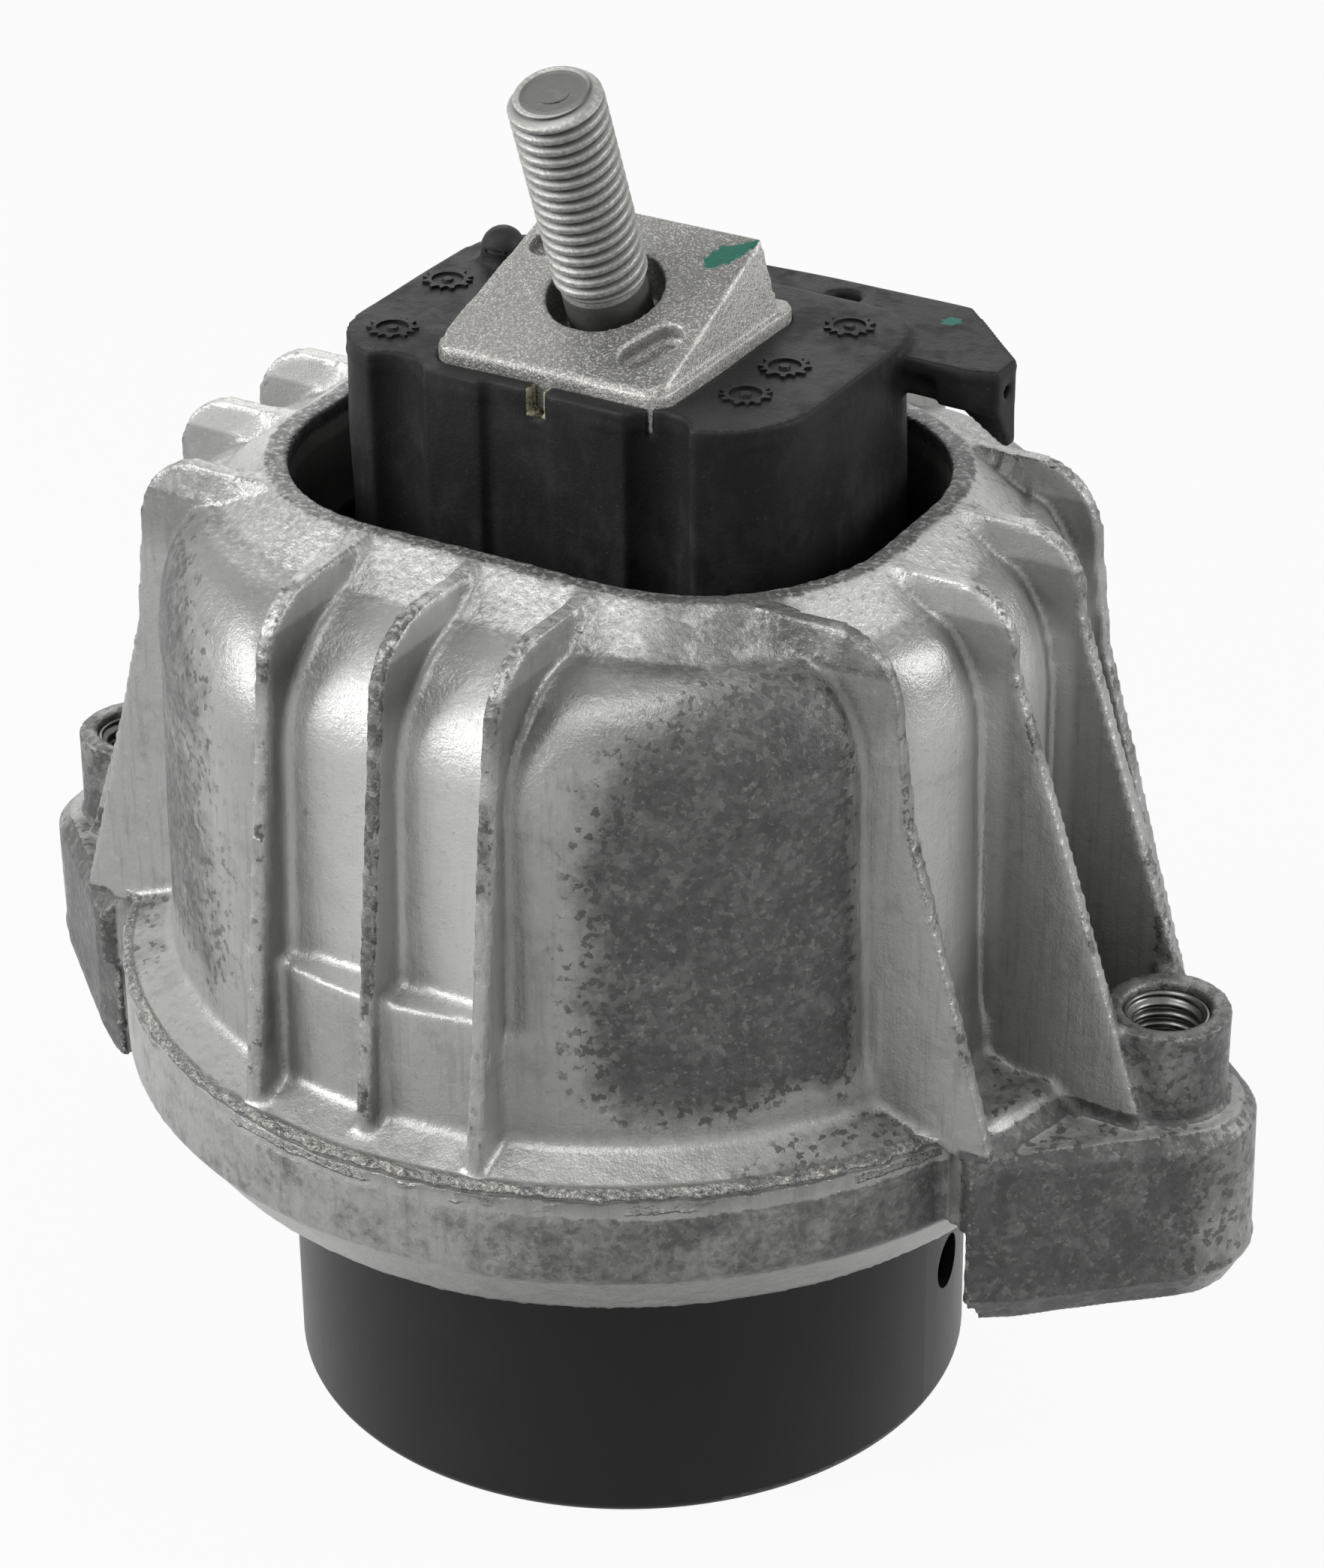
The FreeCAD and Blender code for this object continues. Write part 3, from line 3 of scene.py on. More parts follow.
import bmesh
import bpy
import numpy as np
from mathutils import Matrix, Vector


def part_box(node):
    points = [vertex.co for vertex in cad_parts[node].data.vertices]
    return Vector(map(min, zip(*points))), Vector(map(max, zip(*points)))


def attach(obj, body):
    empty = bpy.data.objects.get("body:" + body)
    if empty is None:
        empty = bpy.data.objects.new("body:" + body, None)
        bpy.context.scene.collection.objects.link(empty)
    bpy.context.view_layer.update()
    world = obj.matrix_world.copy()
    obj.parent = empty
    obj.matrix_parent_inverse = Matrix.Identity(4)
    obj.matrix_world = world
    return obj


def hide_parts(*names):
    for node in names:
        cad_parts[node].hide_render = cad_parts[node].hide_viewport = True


bl_info = {
    "name": "Engine Mount",
    "version": (1, 0, 0),
    "blender": (4, 5, 0),
    "location": "View3D > Sidebar > Engine Mount",
    "description": "Cast housing, rubber spring, core, stud and can of a hydraulic engine mount",
    "category": "Object",
}

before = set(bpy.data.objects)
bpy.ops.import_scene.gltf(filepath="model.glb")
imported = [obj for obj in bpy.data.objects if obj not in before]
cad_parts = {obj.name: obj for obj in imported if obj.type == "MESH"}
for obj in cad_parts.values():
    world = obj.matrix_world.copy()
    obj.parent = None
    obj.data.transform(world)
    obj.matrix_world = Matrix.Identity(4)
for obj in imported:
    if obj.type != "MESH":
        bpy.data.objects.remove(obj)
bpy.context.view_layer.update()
BODY = "root"
MM = 0.001
MOST_TRIANGLES = 190000
THIN_GRAIN = 0.8 * MM
WELD = 0.001 * MM
FULL_TURN = 2.0 * math.pi

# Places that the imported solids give
HOUSING_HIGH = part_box("housing")[1]
CAN_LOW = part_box("base_can")[0]

# Levels, radii and ribs of the casting, and levels of the rubber, as their drawing has them
BLOCK_LEVEL = 149.2 * MM
ARM_LEVEL = 148.0 * MM
FLANGE_RADIUS = 67.3 * MM
FLANGE_HIGH = 64.4 * MM
FOOT_SEAM = 41.6 * MM
BAND_LEVEL = 127.4 * MM
FRONT_RIB = 16.3 * MM
SIDE_RIB = 9.0 * MM
CORNER_RIB = 27.0 * MM
RIB_HALF = 1.2 * MM
OPENING_HALF_X, OPENING_HALF_Y, OPENING_CORNER = 41.2 * MM, 31.1 * MM, 24.0 * MM
SEAT = Vector((0.0, -2.5, 156.5)) * MM
TILT = math.radians(20.5)
STUD_TURN = Matrix.Translation(SEAT) @ Matrix.Rotation(TILT, 4, "X")


class MountSizes(bpy.types.PropertyGroup):
    """Sizes that someone who restyles the mount would change."""

    casting_grain: bpy.props.FloatProperty(
        name="Casting grain", description="Size of the faces that the casting is rounded with",
        default=0.62 * MM, min=0.5 * MM, unit="LENGTH")
    rubber_grain: bpy.props.FloatProperty(
        name="Rubber grain", description="Size of the faces that the rubber is rounded with",
        default=0.58 * MM, min=0.5 * MM, unit="LENGTH")
    core_grain: bpy.props.FloatProperty(
        name="Core grain", description="Size of the faces that the core is rounded with",
        default=0.42 * MM, min=0.35 * MM, unit="LENGTH")
    fillet_passes: bpy.props.IntProperty(
        name="Fillet passes", description="How far the casting's inner corners are filled",
        default=1, min=0, max=60)
    stud_pitch: bpy.props.FloatProperty(
        name="Stud pitch", description="Pitch of the stud's thread",
        default=1.75 * MM, unit="LENGTH")
    insert_pitch: bpy.props.FloatProperty(
        name="Insert pitch", description="Pitch of the thread in the feet",
        default=1.5 * MM, unit="LENGTH")


class MountColours(bpy.types.PropertyGroup):
    """Colours of the mount's finishes."""

    cast_bright: bpy.props.FloatVectorProperty(
        name="Cast skin", description="Bright satin skin of the casting",
        subtype="COLOR", default=(0.30, 0.30, 0.29))
    cast_dark: bpy.props.FloatVectorProperty(
        name="Cast flakes", description="Dark flakes on the casting's outer walls",
        subtype="COLOR", default=(0.040, 0.040, 0.039))
    blasted: bpy.props.FloatVectorProperty(
        name="Blasted alloy", description="Bead-blasted core",
        subtype="COLOR", default=(0.205, 0.202, 0.192))
    stud_grey: bpy.props.FloatVectorProperty(
        name="Stud", description="Matt grey coat of the stud",
        subtype="COLOR", default=(0.25, 0.25, 0.237))
    rubber: bpy.props.FloatVectorProperty(
        name="Rubber", description="Dusty black rubber",
        subtype="COLOR", default=(0.010, 0.010, 0.010))
    can_black: bpy.props.FloatVectorProperty(
        name="Can", description="Satin black coat of the can",
        subtype="COLOR", default=(0.0055, 0.0055, 0.0055))
    paint: bpy.props.FloatVectorProperty(
        name="Paint mark", description="Green inspection paint",
        subtype="COLOR", default=(0.006, 0.100, 0.072))


# Shader building

class Wire:
    """A socket of a finish; arithmetic on it adds the nodes that work it out."""

    def __init__(self, finish, socket):
        self.finish = finish
        self.socket = socket

    def math(self, operation, *figures):
        feeds = dict(enumerate(figures))
        return self.finish.node("ShaderNodeMath", {"operation": operation}, feeds)

    def __add__(self, other):
        return self.math("ADD", self, other)

    def __radd__(self, other):
        return self.math("ADD", other, self)

    def __sub__(self, other):
        return self.math("SUBTRACT", self, other)

    def __rsub__(self, other):
        return self.math("SUBTRACT", other, self)

    def __mul__(self, other):
        return self.math("MULTIPLY", self, other)

    def __abs__(self):
        return self.math("ABSOLUTE", self)

    def between(self, low, high):
        """0 below low, 1 above high and smooth between; low may be above high."""
        settings = {"interpolation_type": "SMOOTHSTEP"}
        feeds = {"Value": self, "From Min": low, "From Max": high}
        return self.finish.node("ShaderNodeMapRange", settings, feeds)

    def within(self, low, high):
        """The same with both ends in millimetres."""
        return self.between(low * MM, high * MM)

    def larger(self, other):
        return self.math("MAXIMUM", self, other)

    def root(self):
        return self.math("SQRT", self)


class Finish:
    """A material and the nodes that make it up."""

    def __init__(self, name, metallic, specular=0.5):
        self.material = bpy.data.materials.new(name)
        self.material.use_nodes = True
        self.nodes = self.material.node_tree.nodes
        self.shader = self.nodes["Principled BSDF"]
        self.shader.inputs["Metallic"].default_value = metallic
        self.shader.inputs["Specular IOR Level"].default_value = specular
        self.place = self.node("ShaderNodeTexCoord", output="Object")

    def node(self, kind, settings=None, feeds=None, output=0):
        made = self.nodes.new(kind)
        for name, value in (settings or {}).items():
            setattr(made, name, value)
        for socket, value in (feeds or {}).items():
            self.feed(made.inputs[socket], value)
        return Wire(self, made.outputs[output])

    def feed(self, socket, value):
        if isinstance(value, Wire):
            self.material.node_tree.links.new(value.socket, socket)
        else:
            socket.default_value = value

    def axis(self, name):
        return self.node("ShaderNodeSeparateXYZ", None, {0: self.place}, name)

    def stretched(self, up):
        """The object's place with its height scaled, so that a pattern runs upward."""
        feeds = {"Vector": self.place, "Scale": (1.0, 1.0, up)}
        return self.node("ShaderNodeMapping", {"vector_type": "POINT"}, feeds)

    def noise(self, grain, detail, rough, place=None, warp=0.0):
        feeds = {"Vector": place or self.place, "Scale": 1.0 / grain, "Detail": detail,
                 "Roughness": rough, "Distortion": warp}
        return self.node("ShaderNodeTexNoise", None, feeds)

    def mix(self, share, first, second):
        """A colour between two, which may be wires or plain colours."""
        colours = [c if isinstance(c, Wire) else tuple(c)[:3] + (1.0,) for c in (first, second)]
        feeds = {0: share, 6: colours[0], 7: colours[1]}
        return self.node("ShaderNodeMix", {"data_type": "RGBA"}, feeds, 2)

    def layered(self, skin, *layers):
        """A colour with others over it; each layer is its share and its colour."""
        for share, colour in layers:
            skin = self.mix(share, skin, colour)
        return skin

    def attribute(self, name):
        return self.node("ShaderNodeAttribute", {"attribute_name": name}, None, "Fac")

    def flakes(self, grain, ragged):
        """A random tone for each small patch; the patches have uneven outlines."""
        offset = self.node("ShaderNodeTexNoise", None,
                           {"Vector": self.place, "Scale": 1.6 / grain, "Detail": 2.0}, "Color")
        feeds = {0: offset, 1: (ragged,) * 3, 2: self.place}
        place = self.node("ShaderNodeVectorMath", {"operation": "MULTIPLY_ADD"}, feeds)
        feeds = {"Vector": place, "Scale": 1.0 / grain}
        tone = self.node("ShaderNodeTexVoronoi", None, feeds, "Color")
        return self.node("ShaderNodeSeparateColor", None, {0: tone})

    def upward(self):
        """1 on faces that look up, 0 on upright ones."""
        normal = self.node("ShaderNodeNewGeometry", output="Normal")
        return self.node("ShaderNodeSeparateXYZ", None, {0: normal}, "Z")

    def outward(self):
        """How squarely the surface faces away from the can's axis."""
        normal = self.node("ShaderNodeNewGeometry", output="Normal")
        flat = self.node("ShaderNodeVectorMath", {"operation": "MULTIPLY"},
                         {0: self.place, 1: (1.0, 1.0, 0.0)})
        away = self.node("ShaderNodeVectorMath", {"operation": "NORMALIZE"}, {0: flat})
        return self.node("ShaderNodeVectorMath", {"operation": "DOT_PRODUCT"},
                         {0: normal, 1: away}, "Value")

    def radius(self):
        x, y = self.axis("X"), self.axis("Y")
        return (x * x + y * y).root()

    def from_opening(self):
        """Distance from the edge of the housing's rounded opening, below 0 inside it."""
        x = (abs(self.axis("X")) - (OPENING_HALF_X - OPENING_CORNER)).larger(0.0)
        y = (abs(self.axis("Y")) - (OPENING_HALF_Y - OPENING_CORNER)).larger(0.0)
        return (x * x + y * y).root() - OPENING_CORNER

    def done(self, colour, rough, height, depth):
        """Feeds the shader with a colour, a roughness and a relief."""
        feeds = {"Height": height, "Strength": 1.0, "Distance": depth}
        normal = self.node("ShaderNodeBump", None, feeds)
        for name, wire in (("Base Color", colour), ("Roughness", rough), ("Normal", normal)):
            self.feed(self.shader.inputs[name], wire)
        return self.material


def cast_alloy(name, bright, dark):
    """Die-cast skin: satin where the die slid, flaked and dull on the outer walls, with painted
    shade and painted highlights in places.
    """
    finish = Finish(name, metallic=0.42)
    x, y, z = (finish.axis(axis) for axis in "XYZ")
    radius, level, outward = finish.radius(), finish.upward(), finish.outward()
    facing = outward.larger(level).between(0.30, 0.60)
    flange = radius.within(65.4, 66.2) * radius.within(68.6, 67.9)
    line = z + (finish.noise(4.0 * MM, 4.0, 0.7) - 0.5) * (1.6 * MM)

    # Where the skin is dull and flaked: panels, feet, bosses, the rim's lip, the flange and the
    # ribs' crests. On the panels, the feet's faces and the bosses this dark is also painted shade,
    # standing for the dark room that these upright walls reflect
    panel = abs(x).within(18.0, 35.0) * abs(y).within(27.5, 33.0) * z.within(66.0, 78.0)
    panel = panel * outward.between(0.1, 0.3) * radius.within(62.6, 61.4)
    panel = panel * (z - abs(x) * 0.50).within(116.0, 98.0)
    # Panels on the left side keep less of the dark: painted light, a lighter side where the key lamp
    # falls
    panel = panel * (x.within(-10.0, 10.0) * 0.35 + 0.65)
    feet = radius.within(69.5, 71.5) * level.between(0.96, 0.78) * z.within(65.0, 63.8)
    # The feet's outer ends keep less dull skin: a painted highlight where the side lamps catch them
    feet = feet * (1.0 - abs(x).within(84.0, 90.0) * 0.5)
    band = flange * line.within(61.4, 60.8) * z.within(50.0, 51.5)
    foot_top = abs(x).within(42.0, 48.0) * level.between(0.5, 0.8)
    foot_top = foot_top * z.within(69.0, 67.4) * radius.within(60.0, 62.0)
    # The tops' outer ends keep less dull skin too: a painted highlight
    foot_top = foot_top * (1.0 - abs(x).within(84.0, 89.0) * 0.6)
    aside = abs(x) - 80.0 * MM
    boss = (aside * aside + y * y).between((10.5 * MM) ** 2, (9.3 * MM) ** 2)
    boss = boss * z.within(62.5, 64.0)
    rim = z.between(HOUSING_HIGH.z - 3.0 * MM, HOUSING_HIGH.z - 1.6 * MM)
    rim = rim * finish.from_opening().within(3.6, 2.2)
    crest = finish.attribute("crest").between(0.30, 0.62) * facing
    dull = panel.larger(feet)
    # On the flange's lower band the dull share grows from 0.28 to 0.66 towards +x: painted shade,
    # darker away from the key lamp on the left
    for place, depth in ((rim, 0.75), (foot_top, 0.50), (boss, 0.65), (crest, 0.72),
                         (band, x.within(0.0, 48.0) * 0.38 + 0.28)):
        dull = dull.larger(place * depth)

    # Patterns, from coarse to fine
    cloud = finish.noise(16.0 * MM, 3.0, 0.55)
    drift = finish.noise(8.0 * MM, 4.0, 0.6).between(0.38, 0.62)
    ripple = finish.noise(6.0 * MM, 2.0, 0.5)
    cluster = finish.noise(5.0 * MM, 4.0, 0.65)
    mottle = finish.noise(2.3 * MM, 4.0, 0.58, warp=1.2).between(0.46, 0.56)
    scuff = finish.noise(1.1 * MM, 4.0, 0.7)
    streak = finish.noise(1.0 * MM, 3.0, 0.6, finish.stretched(0.07))
    frost = finish.noise(0.9 * MM, 4.0, 0.62)
    crumbs = finish.noise(0.7 * MM, 3.0, 0.7)
    draw = finish.noise(0.7 * MM, 3.0, 0.55, finish.stretched(0.06))
    grain = finish.noise(0.35 * MM, 3.0, 0.7)
    share = dull + (cloud - 0.5) * 0.7 + (cluster - 0.5) * 0.7
    dusty_and_shade = share.between(0.25, 0.80)
    patch = finish.flakes(0.85 * MM, 1.0 * MM)
    dark_fleck = (patch + share * 0.42).between(0.98, 1.04)
    pale_fleck = patch.between(0.08, 0.05)
    fleck_depth = (0.74 - share.between(0.55, 1.0) * 0.30) * (1.0 - flange * 0.55)

    # Parts of the bell, and the lines round the flange
    # Painted shade: a darker strip on the bell just under the band
    shade_under_band = z.within(117.0, 123.0) * z.within(128.2, 127.3)
    # Painted shade: walls that face into the opening are darkened
    inside = outward.between(0.0, -0.4) * z.within(70.0, 76.0) * z.within(129.0, 119.0)
    frosted = z.within(126.6, 127.6) * facing
    shaded = frosted * x.within(20.0, 30.0) * y.within(-23.0, -26.0)
    in_front = abs(x).within(15.4, 14.8) * abs(y).within(38.0, 42.0)
    on_side = abs(y).within(26.4, 25.4) * abs(x).within(38.0, 42.0)
    # Painted highlight: the bays between the front ribs and between the side ribs are made much
    # lighter at mid height, standing for the white floor they reflect
    bay = in_front.larger(on_side) * z.within(78.0, 90.0) * radius.within(62.6, 61.0)
    flash = flange * line.within(63.8, 64.1) * z.within(65.2, 64.8)
    groove = flange * line.within(63.1, 63.3) * line.within(63.8, 63.5)
    torn = flange * line.within(61.6, 61.8) * line.within(63.0, 62.8) * cloud.between(0.48, 0.55)
    edge = finish.attribute("edge").between(0.20, 0.60)
    # Inner corners are darkened below: painted shade
    inner = finish.attribute("inner_corner").between(0.15, 0.70)

    skin = finish.layered(
        bright,
        (streak.between(0.52, 0.66) * 0.25, (0.14, 0.14, 0.138)),
        (cluster.between(0.50, 0.68) * 0.30, (0.15, 0.15, 0.148)),
        # Painted highlight in the bays
        (bay * 0.62, (0.52, 0.52, 0.50)),
        # Painted shade under the band
        (shade_under_band * 0.55, (0.120, 0.120, 0.118)),
        # The dull tone: partly real dull skin, partly painted shade
        (dusty_and_shade, finish.mix(drift, (0.076, 0.076, 0.075), (0.122, 0.122, 0.120))),
        ((dusty_and_shade + band * 0.25) * mottle * 0.42, (0.052, 0.052, 0.051)),
        (share.between(0.10, 0.45) * dark_fleck * fleck_depth, dark),
        (share.between(0.10, 0.60) * pale_fleck * 0.22, (0.24, 0.24, 0.23)),
        (frosted * frost.between(0.56, 0.68) * 0.45, (0.10, 0.10, 0.098)),
        (frosted * frost.between(0.50, 0.38) * 0.45, (0.50, 0.50, 0.48)),
        (shaded * cluster.between(0.30, 0.56) * 0.85, (0.088, 0.088, 0.086)),
        (scuff.between(0.60, 0.68) * 0.22, (0.09, 0.09, 0.09)),
        (scuff.between(0.42, 0.34) * 0.22, (0.44, 0.44, 0.42)),
        # Painted shade inside the opening
        (inside * 0.75, (0.060, 0.060, 0.058)),
        (groove * cluster.between(0.35, 0.60) * 0.6, (0.08, 0.08, 0.08)),
        (flash * 0.7, (0.14, 0.14, 0.132)),
        ((flash + torn * 0.7) * crumbs.between(0.54, 0.62) * 0.8, (0.40, 0.38, 0.33)),
        ((flash + torn) * crumbs.between(0.46, 0.38) * 0.8, (0.06, 0.06, 0.055)),
        (edge * crumbs.between(0.50, 0.62) * 0.75, (0.46, 0.45, 0.41)),
        (edge * crumbs.between(0.50, 0.38) * 0.75, (0.07, 0.07, 0.065)),
        # Painted shade in the inner corners
        (inner * 0.25, (0.12, 0.12, 0.12)))
    rough = 0.31 + dusty_and_shade * 0.17 + edge * 0.06 + foot_top * 0.16
    height = ripple * 0.7 + cluster * 0.35 + draw * 0.16 + grain * 0.22 + cluster * crest * 0.6
    height = height + (dark_fleck + pale_fleck) * dusty_and_shade * 0.12 + scuff * (0.25 + dusty_and_shade * 0.25)
    height = height - groove * 0.7 + (flash + torn) * (crumbs * 1.6 + 0.4) + edge * crumbs * 0.7
    return finish.done(skin, rough, height + frosted * frost * 0.8, 0.30 * MM)


def blasted_alloy(name, colour, paint):
    """Bead-blasted metal that sparkles, with a stroke of paint on its slope, painted shade on that
    slope and painted highlights on its right flank and outer edges.
    """
    finish = Finish(name, metallic=0.6)
    x, level = finish.axis("X"), finish.upward()
    edge = finish.attribute("edge").between(0.15, 0.5)
    sparkle = finish.flakes(0.19 * MM, 0.15 * MM)
    cloud = finish.noise(7.0 * MM, 3.0, 0.6)
    # Painted shade on the slope at the front, and a painted highlight on the upright faces at the
    # right
    slope = level.between(0.84, 0.89) * level.between(0.99, 0.965) * x.within(-8.0, 8.0)
    lit_flank = level.between(0.60, 0.40) * x.within(4.0, 9.0)
    mark = paint_stroke(finish, (10.2, 4.9), (15.2, 10.3), 1.75, 0.30) * level.between(0.70, 0.85)
    skin = finish.layered(
        colour,
        # Painted shade on the slope
        (slope * 0.48, (0.085, 0.085, 0.082)),
        # Painted highlight on the right flank
        (lit_flank * 0.50, (0.58, 0.57, 0.54)),
        (sparkle.between(0.60, 0.98) * 0.65, (0.52, 0.51, 0.48)),
        (sparkle.between(0.40, 0.05) * 0.55, (0.10, 0.10, 0.095)),
        (cloud.between(0.45, 0.75) * 0.3, (0.22, 0.22, 0.21)),
        # Painted highlight along the outer edges
        (edge * 0.5, (0.55, 0.54, 0.51)),
        (mark, paint))
    rough = 0.42 + sparkle * 0.14 - edge * 0.08
    height = sparkle * 0.5 + finish.noise(0.40 * MM, 2.0, 0.6)
    return finish.done(skin, rough, height * (1.0 - mark * 0.6), 0.12 * MM)


def paint_stroke(finish, start, end, half_width, taper):
    """A ragged stroke between two places in the plan, widest at a third of its length.

    The places and the half width are in millimetres.
    """
    start, end = Vector(start) * MM, Vector(end) * MM
    along = end - start
    length = along.length
    along.normalize()
    x, y = finish.axis("X") - start.x, finish.axis("Y") - start.y
    forward = x * along.x + y * along.y
    aside = abs(x * along.y - y * along.x)
    ragged = (finish.noise(1.3 * MM, 4.0, 0.65) - 0.5) * 2.4 * MM
    narrower = abs(forward - length * 0.32) * taper
    inside = (aside + ragged + narrower).within(half_width + 0.15, half_width - 0.15)
    reach = forward + ragged
    return inside * reach.within(-0.4, 0.0) * reach.between(length + 0.3 * MM, length - 0.1 * MM)


def coated_steel(name, colour):
    """Matt grey coat on a threaded rod, rubbed bright on the crests, with painted shade in the
    thread's roots.
    """
    finish = Finish(name, metallic=0.5)
    crest = finish.attribute("crest")
    cloud = finish.noise(3.0 * MM, 4.0, 0.6)
    speck = finish.noise(0.5 * MM, 2.0, 0.6)
    skin = finish.layered(
        # The base stays near black and the coat's grey covers only the crests: painted shade in the
        # thread's roots
        (0.050, 0.050, 0.048),
        (crest.between(0.0, 0.75), colour),
        (crest.between(0.6, 1.0) * speck.between(0.40, 0.62) * 0.6, (0.42, 0.42, 0.39)),
        (cloud.between(0.55, 0.75) * 0.4, (0.20, 0.20, 0.19)))
    return finish.done(skin, 0.42 + cloud * 0.18, speck + cloud * 2.0, 0.06 * MM)


def bright_steel(name, colour):
    """Drawn wire, clouded with grime."""
    finish = Finish(name, metallic=1.0)
    cloud = finish.noise(2.0 * MM, 3.0, 0.6)
    skin = finish.mix(cloud.between(0.45, 0.70) * 0.6, colour, (0.10, 0.10, 0.095))
    return finish.done(skin, 0.26 + cloud * 0.2, cloud, 0.05 * MM)


def plate_metal(name, colour, rough):
    """Pressed or cast inner metal, slightly clouded."""
    finish = Finish(name, metallic=0.9)
    cloud = finish.noise(9.0 * MM, 3.0, 0.6)
    skin = finish.mix(cloud.between(0.4, 0.7) * 0.5, colour, [c * 0.55 for c in colour])
    return finish.done(skin, rough + cloud * 0.1, cloud, 0.08 * MM)


def dusty_rubber(name, colour, paint=None):
    """Black rubber with a grey bloom; paint is given for the moulding with the stop arm."""
    finish = Finish(name, metallic=0.0, specular=0.12)
    edge = finish.attribute("edge").between(0.10, 0.45)
    cloud = finish.noise(11.0 * MM, 4.0, 0.62)
    rub = finish.noise(2.2 * MM, 4.0, 0.65, finish.stretched(0.45))
    speck = finish.noise(0.45 * MM, 2.0, 0.7)
    dust = (cloud + rub * 0.55).between(0.70, 1.02)
    skin = finish.layered(
        colour,
        (dust * 0.6, (0.028, 0.028, 0.028)),
        (speck.between(0.66, 0.76) * 0.5, (0.07, 0.07, 0.07)),
        (edge * 0.35, (0.035, 0.035, 0.035)))
    if paint is not None:
        # Painted shade: faces that look up, and most of all the stop arm's top, are darkened
        top = finish.upward().between(0.70, 0.95)
        z = finish.axis("Z")
        arm = top * z.between(BLOCK_LEVEL - 0.4 * MM, BLOCK_LEVEL - 0.8 * MM)
        on_arm = z.between(ARM_LEVEL - 1.0 * MM, ARM_LEVEL - 0.5 * MM)
        dot = paint_stroke(finish, (32.6, 26.2), (34.6, 27.4), 1.15, 0.35) * on_arm
        skin = finish.layered(
            skin,
            # Painted shade on the tops and the arm
            (top * 0.20 + arm * 0.45, (0.003, 0.003, 0.003)),
            (notch_crumbs(finish), (0.36, 0.33, 0.23)),
            (dot, paint))
    height = speck * 0.5 + rub * 0.7 + cloud * 1.5
    return finish.done(skin, 0.52 + dust * 0.22, height, 0.12 * MM)


def notch_crumbs(finish):
    """Pale crumbs along the sides and foot of the notch in the block's front."""
    x, y, z = (finish.axis(axis) for axis in "XYZ")
    crumbs = finish.noise(0.6 * MM, 3.0, 0.7)
    aside = abs(x) + (crumbs - 0.5) * (0.5 * MM)
    border = aside.within(0.72, 0.86).larger(z.within(146.4, 146.2))
    border = border * aside.within(1.42, 1.28) * y.within(-12.0, -16.0)
    border = border * z.within(145.5, 145.8) * z.within(149.6, 149.3)
    return border * crumbs.between(0.36, 0.54) * 0.85


def satin_coat(name, colour):
    """Thin black coat on drawn sheet, with the faintest orange peel."""
    finish = Finish(name, metallic=0.0, specular=0.22)
    cloud = finish.noise(14.0 * MM, 3.0, 0.6)
    peel = finish.noise(0.7 * MM, 2.0, 0.5)
    skin = finish.mix(cloud.between(0.45, 0.8) * 0.5, colour, (0.011, 0.011, 0.011))
    return finish.done(skin, 0.34 + cloud * 0.08, peel, 0.02 * MM)


# Mesh building

def placed(name, data):
    """A new object of the scene that carries a mesh, a lamp or a camera."""
    made = bpy.data.objects.new(name, data)
    bpy.context.scene.collection.objects.link(made)
    return made


def dress(mesh, material):
    """Leaves a mesh with this one material."""
    mesh.materials.clear()
    mesh.materials.append(material)


def new_piece(name, mesh, material, slot, *nodes):
    """Links a finished mesh as a piece that rides on the mount."""
    piece = placed(name, mesh)
    dress(mesh, material)
    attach(piece, BODY)
    if nodes:
        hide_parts(*nodes)


def built(work, name):
    """Turns a form that has been built into a mesh."""
    mesh = bpy.data.meshes.new(name)
    work.to_mesh(mesh)
    work.free()
    return mesh


def merged_copy(node):
    """A node's mesh as one joined skin."""
    work = bmesh.new()
    work.from_mesh(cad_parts[node].data)
    bmesh.ops.remove_doubles(work, verts=work.verts, dist=2.0 * WELD)
    return built(work, node + "_skin")


def modified(mesh, kind, **settings):
    """What a modifier makes of a mesh, which it takes the place of."""
    carrier = placed("carrier", mesh)
    modifier = carrier.modifiers.new("change", kind)
    for name, value in settings.items():
        setattr(modifier, name, value)
    graph = bpy.context.evaluated_depsgraph_get()
    result = bpy.data.meshes.new_from_object(carrier.evaluated_get(graph))
    bpy.data.objects.remove(carrier)
    bpy.data.meshes.remove(mesh)
    return result


def evened(mesh, grain):
    """The same form in even faces, through a voxel remesh."""
    return modified(mesh, "REMESH", mode="VOXEL", voxel_size=grain, use_smooth_shade=True)


def thinned(mesh, limit):
    """The same skin with at most so many triangles, fewest where it is flat."""
    count = sum(len(face.vertices) - 2 for face in mesh.polygons)
    if count > limit:
        mesh = modified(mesh, "DECIMATE", ratio=limit / count)
        mesh.shade_smooth()
    return mesh


